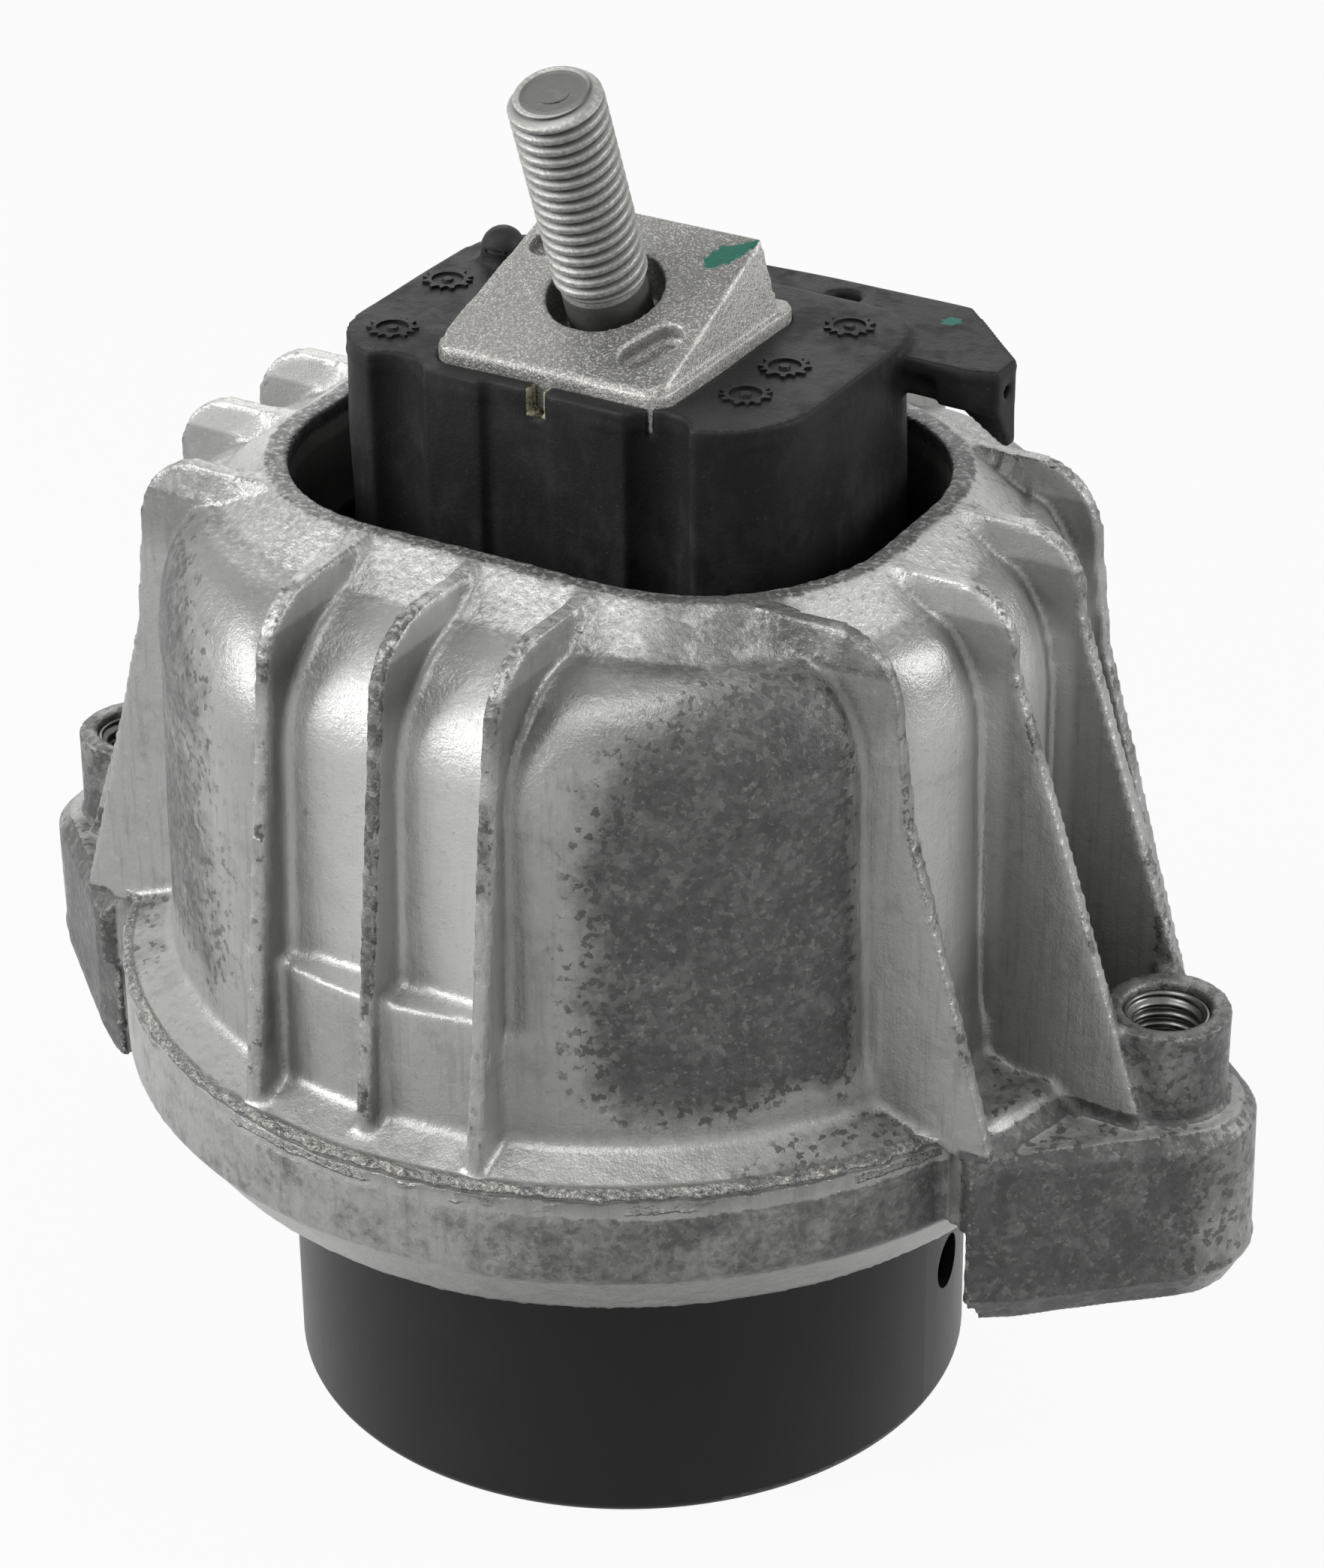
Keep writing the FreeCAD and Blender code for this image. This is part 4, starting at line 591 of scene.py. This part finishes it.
class Skin:
    """Vertex places of an even mesh, with what smoothing them needs."""

    def __init__(self, mesh):
        self.mesh = mesh
        self.count = len(mesh.vertices)
        pairs = np.empty(len(mesh.edges) * 2, np.int64)
        mesh.edges.foreach_get("vertices", pairs)
        self.pairs = pairs.reshape(-1, 2)
        places = np.empty(self.count * 3)
        mesh.vertices.foreach_get("co", places)
        self.places = places.reshape(-1, 3)
        both = self.pairs.ravel()
        self.degree = np.bincount(both, minlength=self.count)[:, None]

    def around(self, field):
        """Mean of a field over each vertex's neighbours."""
        first, second = self.pairs.T
        total = np.stack([
            np.bincount(first, column[second], self.count)
            + np.bincount(second, column[first], self.count)
            for column in field.T], axis=1)
        return total / self.degree

    def normals(self):
        self.write()
        normals = np.empty(self.count * 3)
        self.mesh.vertex_normals.foreach_get("vector", normals)
        return normals.reshape(-1, 3)

    def write(self):
        self.mesh.vertices.foreach_set("co", self.places.ravel())
        self.mesh.update()

    def settle(self, passes, outward, inward):
        """Smooths in small steps; inner corners move outward, outer ones in."""
        for _ in range(passes):
            step = self.around(self.places) - self.places
            height = np.einsum("ij,ij->i", step, self.normals())[:, None]
            share = np.where(height > 0, outward, inward)
            self.places = self.places + step * share
        self.write()

    def smooth(self, passes, share):
        """Evens the surface out where the share is above 0."""
        for _ in range(passes):
            self.places = self.places + (self.around(self.places) - self.places) * share[:, None]
        self.write()

    def bend(self, passes):
        """How strongly the surface curves, above 0 at outer edges."""
        normals = self.normals()
        step = self.places - self.around(self.places)
        curve = np.einsum("ij,ij->i", step, normals)[:, None]
        for _ in range(passes):
            curve = self.around(curve)
        return curve[:, 0]

    def keep_field(self, name, values):
        layer = self.mesh.attributes.new(name, "FLOAT", "POINT")
        layer.data.foreach_set("value", values.astype(np.float32))

    def mark_edges(self, grain):
        """Keeps how sharp and how narrow the form is, as fields between 0 and 1."""
        edge_gain, crest_gain = 3.0, 6.0
        curve = self.bend(1) / grain
        self.keep_field("edge", np.clip(curve * edge_gain, 0.0, 1.0))
        self.keep_field("inner_corner", np.clip(-curve * edge_gain, 0.0, 1.0))
        self.keep_field("crest", np.clip(self.bend(7) / grain * crest_gain, 0.0, 1.0))


def eased(field, low, high):
    """0 below low, 1 above high and smooth between."""
    share = np.clip((field - low) / (high - low), 0.0, 1.0)
    return share * share * (3.0 - 2.0 * share)


def eased_mm(field, low, high):
    """The same with both ends in millimetres."""
    return eased(field, low * MM, high * MM)


def wander(places, grain, seed):
    """A smooth field between -1 and 1 made of a few crossing waves."""
    generator = np.random.default_rng(seed)
    total = np.zeros(len(places))
    waves = 10
    for _ in range(waves):
        way = generator.normal(size=3)
        way /= np.linalg.norm(way)
        length = grain * generator.uniform(0.7, 1.6)
        phase = generator.uniform(0.0, FULL_TURN)
        total += np.sin(places @ way * (FULL_TURN / length) + phase)
    return total / math.sqrt(waves)


def turned(outline, sides):
    """A form turned from an outline, whose points are a radius and a level."""
    work = bmesh.new()
    verts = [work.verts.new((radius, 0.0, level)) for radius, level in outline]
    edges = [work.edges.new(pair) for pair in zip(verts, verts[1:])]
    if outline[0][0] > 0.0:
        edges.append(work.edges.new((verts[-1], verts[0])))
    bmesh.ops.spin(work, geom=verts + edges, cent=(0, 0, 0), axis=(0, 0, 1), dvec=(0, 0, 0),
                   angle=FULL_TURN, steps=sides, use_merge=True, use_duplicate=False)
    bmesh.ops.remove_doubles(work, verts=work.verts, dist=WELD)
    bmesh.ops.recalc_face_normals(work, faces=work.faces)
    return work


def thread_wave(place, pitch):
    """How far a place is from a helix, 0 on it and 1 halfway to its next turn."""
    turn = math.atan2(place.y, place.x) / FULL_TURN
    return abs(((place.z / pitch - turn) % 1.0) - 0.5) * 2.0


def threaded_rod(name, profile, pitch, depth, start, end):
    """A turned rod whose radius waves along a helix between two levels."""
    sides, steps, flat, sharpness, run_out = 80, 14, 0.30, 1.5, 0.6
    points = []
    for (radius_a, level_a), (radius_b, level_b) in zip(profile, profile[1:]):
        length = math.hypot(radius_b - radius_a, level_b - level_a)
        count = max(1, round(length / pitch * steps))
        for number in range(count):
            share = number / count
            points.append((radius_a + (radius_b - radius_a) * share,
                           level_a + (level_b - level_a) * share))
    work = turned(points + profile[-1:], sides)
    crest = work.verts.layers.float.new("crest")
    for vert in work.verts:
        radius, level = vert.co.xy.length, vert.co.z
        vert[crest] = 1.0
        if start <= level <= end and radius > depth * 2.0:
            wave = thread_wave(vert.co, pitch)
            groove = max((wave - flat) / (1.0 - flat), 0.0) ** sharpness
            fade = min((level - start) / pitch, (end - level) / (pitch * run_out), 1.0)
            vert.co.xy *= (radius - depth * groove * max(fade, 0.0)) / radius
            vert[crest] = 1.0 - groove
    mesh = built(work, name)
    mesh.shade_smooth()
    return mesh


def toothed_ring(work, centre, radius, teeth, turn):
    """A small moulded ring with teeth round it and a hub, standing on a face."""
    wall, height, sunk = 0.60 * MM, 0.36 * MM, 0.25 * MM
    tooth_reach, gap_reach, hub_foot, hub_top = 1.24, 0.96, 0.34, 0.24
    made = bmesh.ops.create_circle(work, cap_ends=False, radius=radius, segments=teeth * 4)
    outer = made["verts"]
    edges = list({edge for vert in outer for edge in vert.link_edges})
    ring = bmesh.ops.extrude_edge_only(work, edges=edges)["geom"]
    inner = [item for item in ring if isinstance(item, bmesh.types.BMVert)]
    for vert in inner:
        vert.co.xy *= (radius - wall) / radius
    for vert in outer:
        angle = math.atan2(vert.co.y, vert.co.x)
        vert.co.xy *= tooth_reach if math.cos(angle * teeth) > 0.0 else gap_reach
    faces = list({face for vert in inner for face in vert.link_faces})
    lifted = bmesh.ops.extrude_face_region(work, geom=faces)["geom"]
    top = [item for item in lifted if isinstance(item, bmesh.types.BMVert)]
    bmesh.ops.translate(work, verts=top, vec=(0, 0, height + sunk))
    hub = bmesh.ops.create_cone(work, cap_ends=True, segments=10, radius1=radius * hub_foot,
                                radius2=radius * hub_top, depth=height + sunk)["verts"]
    bmesh.ops.translate(work, verts=hub, vec=(0, 0, (height + sunk) / 2))
    verts = outer + inner + top + hub
    place = Matrix.Translation(centre - Vector((0, 0, sunk))) @ Matrix.Rotation(turn, 4, "Z")
    bmesh.ops.transform(work, matrix=place, verts=verts)


def direction(azimuth, elevation):
    """The way to a place so far round from the front and so far up."""
    return Vector((math.sin(azimuth) * math.cos(elevation),
                   -math.cos(azimuth) * math.cos(elevation), math.sin(elevation)))


# Operators

class MOUNT_OT_housing(bpy.types.Operator):
    """Rounds the die-cast housing and gives it its skin."""

    bl_idname = "mount.housing"
    bl_label = "Housing"

    def execute(self, context):
        sizes, colours = context.scene.mount_sizes, context.scene.mount_colours
        skin = Skin(evened(merged_copy("housing"), sizes.casting_grain))
        self.press_grooves(skin)
        self.slope_rim(skin)
        skin.settle(sizes.fillet_passes, outward=0.60, inward=0.04)
        self.roughen(skin)
        skin.mark_edges(sizes.casting_grain)
        mesh = thinned(skin.mesh, MOST_TRIANGLES)
        material = cast_alloy("cast_alloy", colours.cast_bright, colours.cast_dark)
        new_piece("housing_casting", mesh, material, "cast_alloy", "housing")
        return {"FINISHED"}

    def press_grooves(self, skin):
        """Between its ribs the bell's wall swells like a pillow with an arched top."""
        inner_wall, front_swell, side_swell = 34.0 * MM, 2.2 * MM, 2.4 * MM
        x, y, z = skin.places.T
        radius = np.hypot(x, y)
        normals = skin.normals()
        outward = (normals[:, 0] * x + normals[:, 1] * y) / np.maximum(radius, MM)
        on_wall = eased(outward + np.maximum(normals[:, 2], 0.0), 0.3, 0.5)
        on_wall *= eased_mm(-radius, -62.0, -61.0) * (radius > inner_wall)
        on_wall *= eased_mm(BAND_LEVEL - z, -2.8, 5.0) * eased_mm(z, 70.0, 77.0)
        past_front = np.abs(x) - FRONT_RIB - RIB_HALF
        past_corner = np.abs(y) - CORNER_RIB - RIB_HALF
        in_bay = np.minimum(np.abs(np.abs(y) - SIDE_RIB), CORNER_RIB - np.abs(y)) - RIB_HALF
        in_panel = (past_front > 0.0) & (past_corner > 0.0)
        on_side = (in_bay > 0.0) & (np.abs(x) > inner_wall)
        off_front = eased(-np.abs(normals[:, 0]), -0.9, -0.7)
        off_side = eased(-np.abs(normals[:, 1]), -0.8, -0.6)
        front = self.fall(past_front, z, 10.0 * MM, 20.0 * MM) * eased_mm(z, 81.0, 83.0)
        corner = self.fall(past_corner, z, 8.0 * MM, 16.0 * MM)
        panel = np.maximum(front * front_swell * off_front, corner * side_swell * off_side)
        bay = self.fall(in_bay, z, 6.5 * MM, 16.0 * MM) * side_swell * off_side * on_side
        push = (panel * in_panel + bay) * on_wall
        skin.places = skin.places - normals * push[:, None]
        beside = np.minimum(np.abs(past_front), np.minimum(np.abs(past_corner), np.abs(in_bay)))
        skin.smooth(3, 0.5 * eased_mm(-beside, -1.8, -0.9) * on_wall * (z > 84.0 * MM))

    def fall(self, distance, level, width, arch):
        """How far the wall falls back at a distance from a rib, more outside its arch."""
        outside_arch = 1.3
        over = np.clip(1.0 - distance / width, 0.0, 1.0)
        rise = np.clip(1.0 - (BAND_LEVEL - level) / arch, 0.0, 1.0)
        corner = np.clip(np.hypot(over, rise) - 1.0, 0.0, None)
        return 1.0 - np.sqrt(1.0 - over ** 2) + corner * outside_arch

    def slope_rim(self, skin):
        """Between the ribs one bevel runs from the rim's narrow lip to the band's foot."""
        lip, drop, rib_side = 2.8 * MM, 0.76, RIB_HALF + 0.2 * MM
        x, y, z = np.abs(skin.places).T
        over_x = np.clip(x - OPENING_HALF_X + OPENING_CORNER, 0.0, None)
        over_y = np.clip(y - OPENING_HALF_Y + OPENING_CORNER, 0.0, None)
        past = np.hypot(over_x, over_y) - OPENING_CORNER - lip
        off_front = np.minimum(np.abs(x - FRONT_RIB), x) > rib_side
        off_side = np.minimum(np.abs(y - SIDE_RIB), np.abs(y - CORNER_RIB)) > rib_side
        free = (off_front | (y < 30.0 * MM)) & (off_side | (x < 33.0 * MM))
        bevel = HOUSING_HIGH.z - np.clip(past, 0.0, None) * drop
        lowered = free & (z > BAND_LEVEL)
        skin.places[lowered, 2] = np.maximum(np.minimum(z, bevel), BAND_LEVEL)[lowered]
        skin.write()

    def roughen(self, skin):
        """Slight waves, ragged edges and the seams that the die's halves leave."""
        wave, ragged, groove, seam = 0.08 * MM, 0.13 * MM, 0.40 * MM, 0.30 * MM
        bead_half, seam_half = 0.55 * MM, 0.7 * MM
        places = skin.places
        normals = skin.normals()
        radius = np.hypot(places[:, 0], places[:, 1])
        curve = np.clip(skin.bend(1) / (0.2 * MM), 0.0, 1.0)
        height = wander(places, 24.0 * MM, 3) * wave
        height += wander(places, 2.4 * MM, 5) * ragged * curve
        on_flange = eased_mm(radius - FLANGE_RADIUS, -2.0, -1.2)
        on_flange *= radius < FLANGE_RADIUS + 1.2 * MM
        level = places[:, 2] - wander(places, 9.0 * MM, 8) * 0.4 * MM
        bead = np.exp(-((level - FLANGE_HIGH + 0.2 * MM) / bead_half) ** 2)
        height += on_flange * bead * (0.16 + 0.22 * wander(places, 3.0 * MM, 10)) * MM
        strip = eased_mm(level, 60.6, 61.4) * eased_mm(-level, -63.8, -63.0)
        height -= on_flange * strip * groove
        foot_seam = np.exp(-((places[:, 2] - FOOT_SEAM) / seam_half) ** 2)
        foot_seam *= radius > FLANGE_RADIUS + 3.0 * MM
        height += foot_seam * seam
        skin.places = places + normals * height[:, None]
        skin.write()


class MOUNT_OT_core(bpy.types.Operator):
    """Rounds the bead-blasted core."""

    bl_idname = "mount.core"
    bl_label = "Core"

    def execute(self, context):
        sizes, colours = context.scene.mount_sizes, context.scene.mount_colours
        skin = Skin(evened(merged_copy("core"), sizes.core_grain))
        skin.settle(1, outward=0.5, inward=0.15)
        skin.mark_edges(sizes.core_grain)
        material = blasted_alloy("blasted_alloy", colours.blasted, colours.paint)
        new_piece("core_blasted", skin.mesh, material, "blasted_alloy", "core")
        return {"FINISHED"}


class MOUNT_OT_stud(bpy.types.Operator):
    """Turns the stud with its rolled thread and sets it in the core."""

    bl_idname = "mount.stud"
    bl_label = "Stud"

    def execute(self, context):
        sizes, colours = context.scene.mount_sizes, context.scene.mount_colours
        radius, neck, bevel, dip = 6.0 * MM, 5.45 * MM, 1.2 * MM, 0.35 * MM
        low, high, mouth, neck_top = -28.0 * MM, 31.6 * MM, -8.0 * MM, 2.4 * MM
        thread_depth, hollow_shade, neck_shade = 1.0 * MM, 0.25, 0.22
        profile = [(0.0, low), (radius, low), (radius, mouth), (neck, mouth), (neck, neck_top),
                   (radius, neck_top + radius - neck), (radius, high - bevel),
                   (radius - bevel, high), (radius - 1.9 * bevel, high - dip), (0.0, high - dip)]
        mesh = threaded_rod("stud_threaded", profile, sizes.stud_pitch, thread_depth,
                            neck_top - 0.4 * MM, high + 0.2 * MM)
        # The hollow in the end and the neck get low crest values, so they take the thread roots'
        # painted shade
        tones = mesh.attributes["crest"].data
        for vert, tone in zip(mesh.vertices, tones):
            if vert.co.z > high - 0.5 * MM and vert.co.xy.length < radius - 1.5 * bevel:
                tone.value = hollow_shade
            elif vert.co.z < neck_top - 0.8 * MM:
                tone.value = neck_shade
        mesh.transform(STUD_TURN)
        material = coated_steel("stud_steel", colours.stud_grey)
        new_piece("stud_threaded", mesh, material, "stud_steel", "stud")
        return {"FINISHED"}


class MOUNT_OT_thread_inserts(bpy.types.Operator):
    """Winds the coiled thread inserts of both feet."""

    bl_idname = "mount.thread_inserts"
    bl_label = "Thread inserts"

    def execute(self, context):
        sizes = context.scene.mount_sizes
        # Painted shade: the wire's steel is given a dark grey so that the bore looks shaded
        material = bright_steel("insert_steel", (0.15, 0.15, 0.145))
        for side in ("right", "left"):
            low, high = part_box("thread_insert_" + side)
            outer, half = (high.x - low.x) / 2, (high.z - low.z) / 2
            mesh = self.coil(outer, half, sizes.insert_pitch)
            mesh.transform(Matrix.Translation((low + high) / 2))
            new_piece("thread_coil_" + side, mesh, material, "insert_steel", "thread_insert_" + side)
        return {"FINISHED"}

    def coil(self, outer, half, pitch):
        """A sleeve whose bore carries the wire's ridges."""
        bore, depth, steps, sides, gap, slope = 4.25 * MM, 0.85 * MM, 10, 48, 0.12, 0.66
        wall = bore + depth
        count = round(2 * half / pitch * steps)
        outline = [(wall, -half), (outer, -half), (outer, half), (wall, half)]
        outline += [(wall, half - 2 * half * number / count) for number in range(1, count)]
        work = turned(outline, sides)
        for vert in work.verts:
            radius, level = vert.co.xy.length, abs(vert.co.z)
            if radius < wall + 0.01 * MM and level < half:
                wave = thread_wave(vert.co, pitch)
                ridge = min(max((1.0 - wave - gap) / slope, 0.0), 1.0)
                fade = min((half - level) / (0.5 * pitch), 1.0)
                vert.co.xy *= (radius - depth * ridge * fade) / radius
        mesh = built(work, "thread_coil")
        mesh.shade_smooth()
        return mesh


class MOUNT_OT_rubber_spring(bpy.types.Operator):
    """Rounds the rubber moulding and adds its moulded marks."""

    bl_idname = "mount.rubber_spring"
    bl_label = "Rubber spring"

    def execute(self, context):
        sizes, colours = context.scene.mount_sizes, context.scene.mount_colours
        skin = Skin(evened(merged_copy("rubber_spring"), sizes.rubber_grain))
        skin.settle(1, outward=0.5, inward=0.25)
        self.dome_nub(skin)
        self.add_flash(skin)
        skin.mark_edges(sizes.rubber_grain)
        mesh = thinned(skin.mesh, MOST_TRIANGLES)
        material = dusty_rubber("moulded_rubber", colours.rubber, colours.paint)
        new_piece("rubber_spring_moulded", mesh, material, "moulded_rubber", "rubber_spring")
        self.add_rings(material)
        return {"FINISHED"}

    def dome_nub(self, skin):
        """The nub at the back left ends in a dome."""
        centre, radius, top = np.array([-25.4, 13.6]) * MM, 2.9 * MM, 154.1 * MM
        places = skin.places
        reach = np.hypot(places[:, 0] - centre[0], places[:, 1] - centre[1])
        dome = top - radius + np.sqrt(np.clip(radius ** 2 - reach ** 2, 0.0, None))
        on_nub = (reach < radius) & (places[:, 2] > BLOCK_LEVEL + 0.6 * MM)
        places[on_nub, 2] = np.minimum(places[on_nub, 2], dome[on_nub])
        skin.write()

    def add_flash(self, skin):
        """A thin uneven line of flash under the block's top edge."""
        level, half = BLOCK_LEVEL - 2.2 * MM, 0.5 * MM
        places = skin.places
        normals = skin.normals()
        line = np.exp(-((places[:, 2] - level) / half) ** 2)
        line *= np.abs(normals[:, 2]) < 0.5
        amount = 0.10 + 0.10 * wander(places, 9.0 * MM, 11)
        waves = wander(places, 18.0 * MM, 12) * 0.10 * MM
        skin.places = places + normals * (line * amount * MM + waves)[:, None]
        skin.write()

    def add_rings(self, material):
        """Five toothed rings on the block's top, each turned a little farther."""
        work = bmesh.new()
        radius, teeth, turn = 2.7 * MM, 12, 0.3
        for number, (x, y) in enumerate(((-25.8, -11.9), (-28.2, 4.6), (23.2, -7.9),
                                         (23.3, 1.7), (24.3, 16.6))):
            centre = Vector((x * MM, y * MM, BLOCK_LEVEL))
            toothed_ring(work, centre, radius, teeth, turn * number)
        bmesh.ops.recalc_face_normals(work, faces=work.faces)
        mesh = built(work, "moulded_rings")
        new_piece("moulded_rings", mesh, material, "moulded_rubber")


class MOUNT_OT_can(bpy.types.Operator):
    """Coats the drawn steel can."""

    bl_idname = "mount.can"
    bl_label = "Can"

    def execute(self, context):
        material = satin_coat("can_paint", context.scene.mount_colours.can_black)
        dress(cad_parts["base_can"].data, material)
        return {"FINISHED"}


class MOUNT_OT_chamber_parts(bpy.types.Operator):
    """Dresses the parts of the fluid chamber, which the can and housing hide."""

    bl_idname = "mount.chamber_parts"
    bl_label = "Chamber parts"

    def execute(self, context):
        for name, colour, rough, nodes in (
                ("plain_steel", (0.42, 0.42, 0.42), 0.35,
                 ("spring_ring", "bellows_ring", "nozzle_rivets")),
                ("plate_alloy", (0.58, 0.58, 0.57), 0.30,
                 ("nozzle_plate_lower", "nozzle_plate_upper"))):
            material = plate_metal(name, colour, rough)
            for node in nodes:
                dress(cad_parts[node].data, material)
        rubber = dusty_rubber("thin_rubber", context.scene.mount_colours.rubber)
        for node, name in (("bellows", "bellows_moulded"), ("chamber_seal", "seal_moulded"),
                           ("decoupler_membrane", "membrane_moulded")):
            skin = Skin(evened(merged_copy(node), THIN_GRAIN))
            skin.settle(2, outward=0.5, inward=0.4)
            skin.mark_edges(THIN_GRAIN)
            new_piece(name, skin.mesh, rubber, "thin_rubber", node)
        return {"FINISHED"}


class MOUNT_OT_stage(bpy.types.Operator):
    """Sets the white floor, the lamps and the camera."""

    bl_idname = "mount.stage"
    bl_label = "Stage"

    def execute(self, context):
        self.add_world(context.scene)
        self.add_floor()
        self.add_lamps()
        self.add_camera(context.scene)
        context.scene.view_settings.view_transform = "Standard"
        return {"FINISHED"}

    def seen_ray(self, nodes, links):
        """1 where the camera, a mirror or glass looks, 0 for plain light."""
        path = nodes.new("ShaderNodeLightPath")
        total = path.outputs["Is Camera Ray"]
        for name in ("Is Glossy Ray", "Is Transmission Ray"):
            joined = nodes.new("ShaderNodeMath")
            joined.operation = "MAXIMUM"
            links.new(total, joined.inputs[0])
            links.new(path.outputs[name], joined.inputs[1])
            total = joined.outputs[0]
        return total

    def add_world(self, scene):
        world = bpy.data.worlds.new("studio")
        scene.world = world
        world.use_nodes = True
        nodes, links = world.node_tree.nodes, world.node_tree.links
        plain = nodes["Background"]
        plain.inputs["Color"].default_value = (1, 1, 1, 1)
        plain.inputs["Strength"].default_value = 0.20
        white = nodes.new("ShaderNodeBackground")
        white.inputs["Color"].default_value = (1, 1, 1, 1)
        white.inputs["Strength"].default_value = 1.0
        mix = nodes.new("ShaderNodeMixShader")
        links.new(self.seen_ray(nodes, links), mix.inputs["Fac"])
        links.new(plain.outputs[0], mix.inputs[1])
        links.new(white.outputs[0], mix.inputs[2])
        links.new(mix.outputs[0], nodes["World Output"].inputs["Surface"])

    def add_floor(self):
        """A white floor just under the can, on which a soft shadow shows."""
        half_width, gap, glow_share = 3.0, 0.1 * MM, 0.94
        work = bmesh.new()
        bmesh.ops.create_grid(work, x_segments=1, y_segments=1, size=half_width)
        mesh = built(work, "floor")
        mesh.transform(Matrix.Translation((0, 0, CAN_LOW.z - gap)))
        floor = placed("floor", mesh)
        material = bpy.data.materials.new("white_floor")
        material.use_nodes = True
        nodes, links = material.node_tree.nodes, material.node_tree.links
        shader = nodes["Principled BSDF"]
        shader.inputs["Base Color"].default_value = (0.4, 0.4, 0.4, 1)
        shader.inputs["Roughness"].default_value = 0.9
        shader.inputs["Specular IOR Level"].default_value = 0.0
        glow = nodes.new("ShaderNodeEmission")
        glow.inputs["Color"].default_value = (1, 1, 1, 1)
        mix = nodes.new("ShaderNodeMixShader")
        share = nodes.new("ShaderNodeMath")
        share.operation = "MULTIPLY"
        links.new(self.seen_ray(nodes, links), share.inputs[0])
        share.inputs[1].default_value = glow_share
        links.new(share.outputs[0], mix.inputs["Fac"])
        links.new(shader.outputs[0], mix.inputs[1])
        links.new(glow.outputs[0], mix.inputs[2])
        links.new(mix.outputs[0], nodes["Material Output"].inputs["Surface"])
        mesh.materials.append(material)

    def add_lamps(self):
        target = Vector((0, 0, 90)) * MM
        for name, azimuth, elevation, distance, width, watts in (
                ("key_left", -48.0, 26.0, 0.80, 0.40, 6.5),
                ("side_right", 112.0, 22.0, 0.80, 0.35, 4.0),
                ("top_front", -8.0, 66.0, 0.90, 0.35, 3.6),
                ("back", 215.0, 30.0, 1.0, 0.60, 2.5)):
            lamp = bpy.data.lights.new(name, "AREA")
            lamp.size = width
            lamp.energy = watts
            carrier = placed(name, lamp)
            away = direction(math.radians(azimuth), math.radians(elevation))
            carrier.location = target + away * distance
            carrier.rotation_euler = away.to_track_quat("Z", "Y").to_euler()

    def add_camera(self, scene):
        """The photograph's view: 31 degrees round, 29 up, a long lens."""
        azimuth, elevation, roll = math.radians(30.99), math.radians(28.92), math.radians(-0.72)
        aim, distance = Vector((4.87, 1.64, 85.39)) * MM, 624.39 * MM
        back = direction(azimuth, elevation)
        level = Vector((math.cos(azimuth), math.sin(azimuth), 0.0))
        rise = back.cross(level)
        right = level * math.cos(roll) + rise * math.sin(roll)
        up = rise * math.cos(roll) - level * math.sin(roll)
        camera = bpy.data.cameras.new("camera")
        camera.sensor_fit = "VERTICAL"
        camera.sensor_height = 36.0
        camera.lens = 108.64
        carrier = placed("camera", camera)
        place = Matrix((right, up, back)).transposed().to_4x4()
        place.translation = aim + back * distance
        carrier.matrix_world = place
        scene.camera = carrier


class MOUNT_PT_panel(bpy.types.Panel):
    """Lists the mount's sizes, colours and steps."""

    bl_label = "Engine Mount"
    bl_idname = "MOUNT_PT_panel"
    bl_space_type = "VIEW_3D"
    bl_region_type = "UI"
    bl_category = "Engine Mount"

    def draw(self, context):
        for group in (context.scene.mount_sizes, context.scene.mount_colours):
            for name in group.__annotations__:
                self.layout.prop(group, name)
        for step in STEPS:
            self.layout.operator(step.bl_idname)


STEPS = (
    MOUNT_OT_housing,
    MOUNT_OT_core,
    MOUNT_OT_stud,
    MOUNT_OT_thread_inserts,
    MOUNT_OT_rubber_spring,
    MOUNT_OT_can,
    MOUNT_OT_chamber_parts,
    MOUNT_OT_stage,
)
CLASSES = (MountSizes, MountColours) + STEPS + (MOUNT_PT_panel,)


def register():
    for each in CLASSES:
        bpy.utils.register_class(each)
    bpy.types.Scene.mount_sizes = bpy.props.PointerProperty(type=MountSizes)
    bpy.types.Scene.mount_colours = bpy.props.PointerProperty(type=MountColours)


def unregister():
    del bpy.types.Scene.mount_sizes
    del bpy.types.Scene.mount_colours
    for each in reversed(CLASSES):
        bpy.utils.unregister_class(each)


def main():
    register()
    for step in STEPS:
        group, name = step.bl_idname.split(".")
        getattr(getattr(bpy.ops, group), name)()


if __name__ == "__main__":
    main()
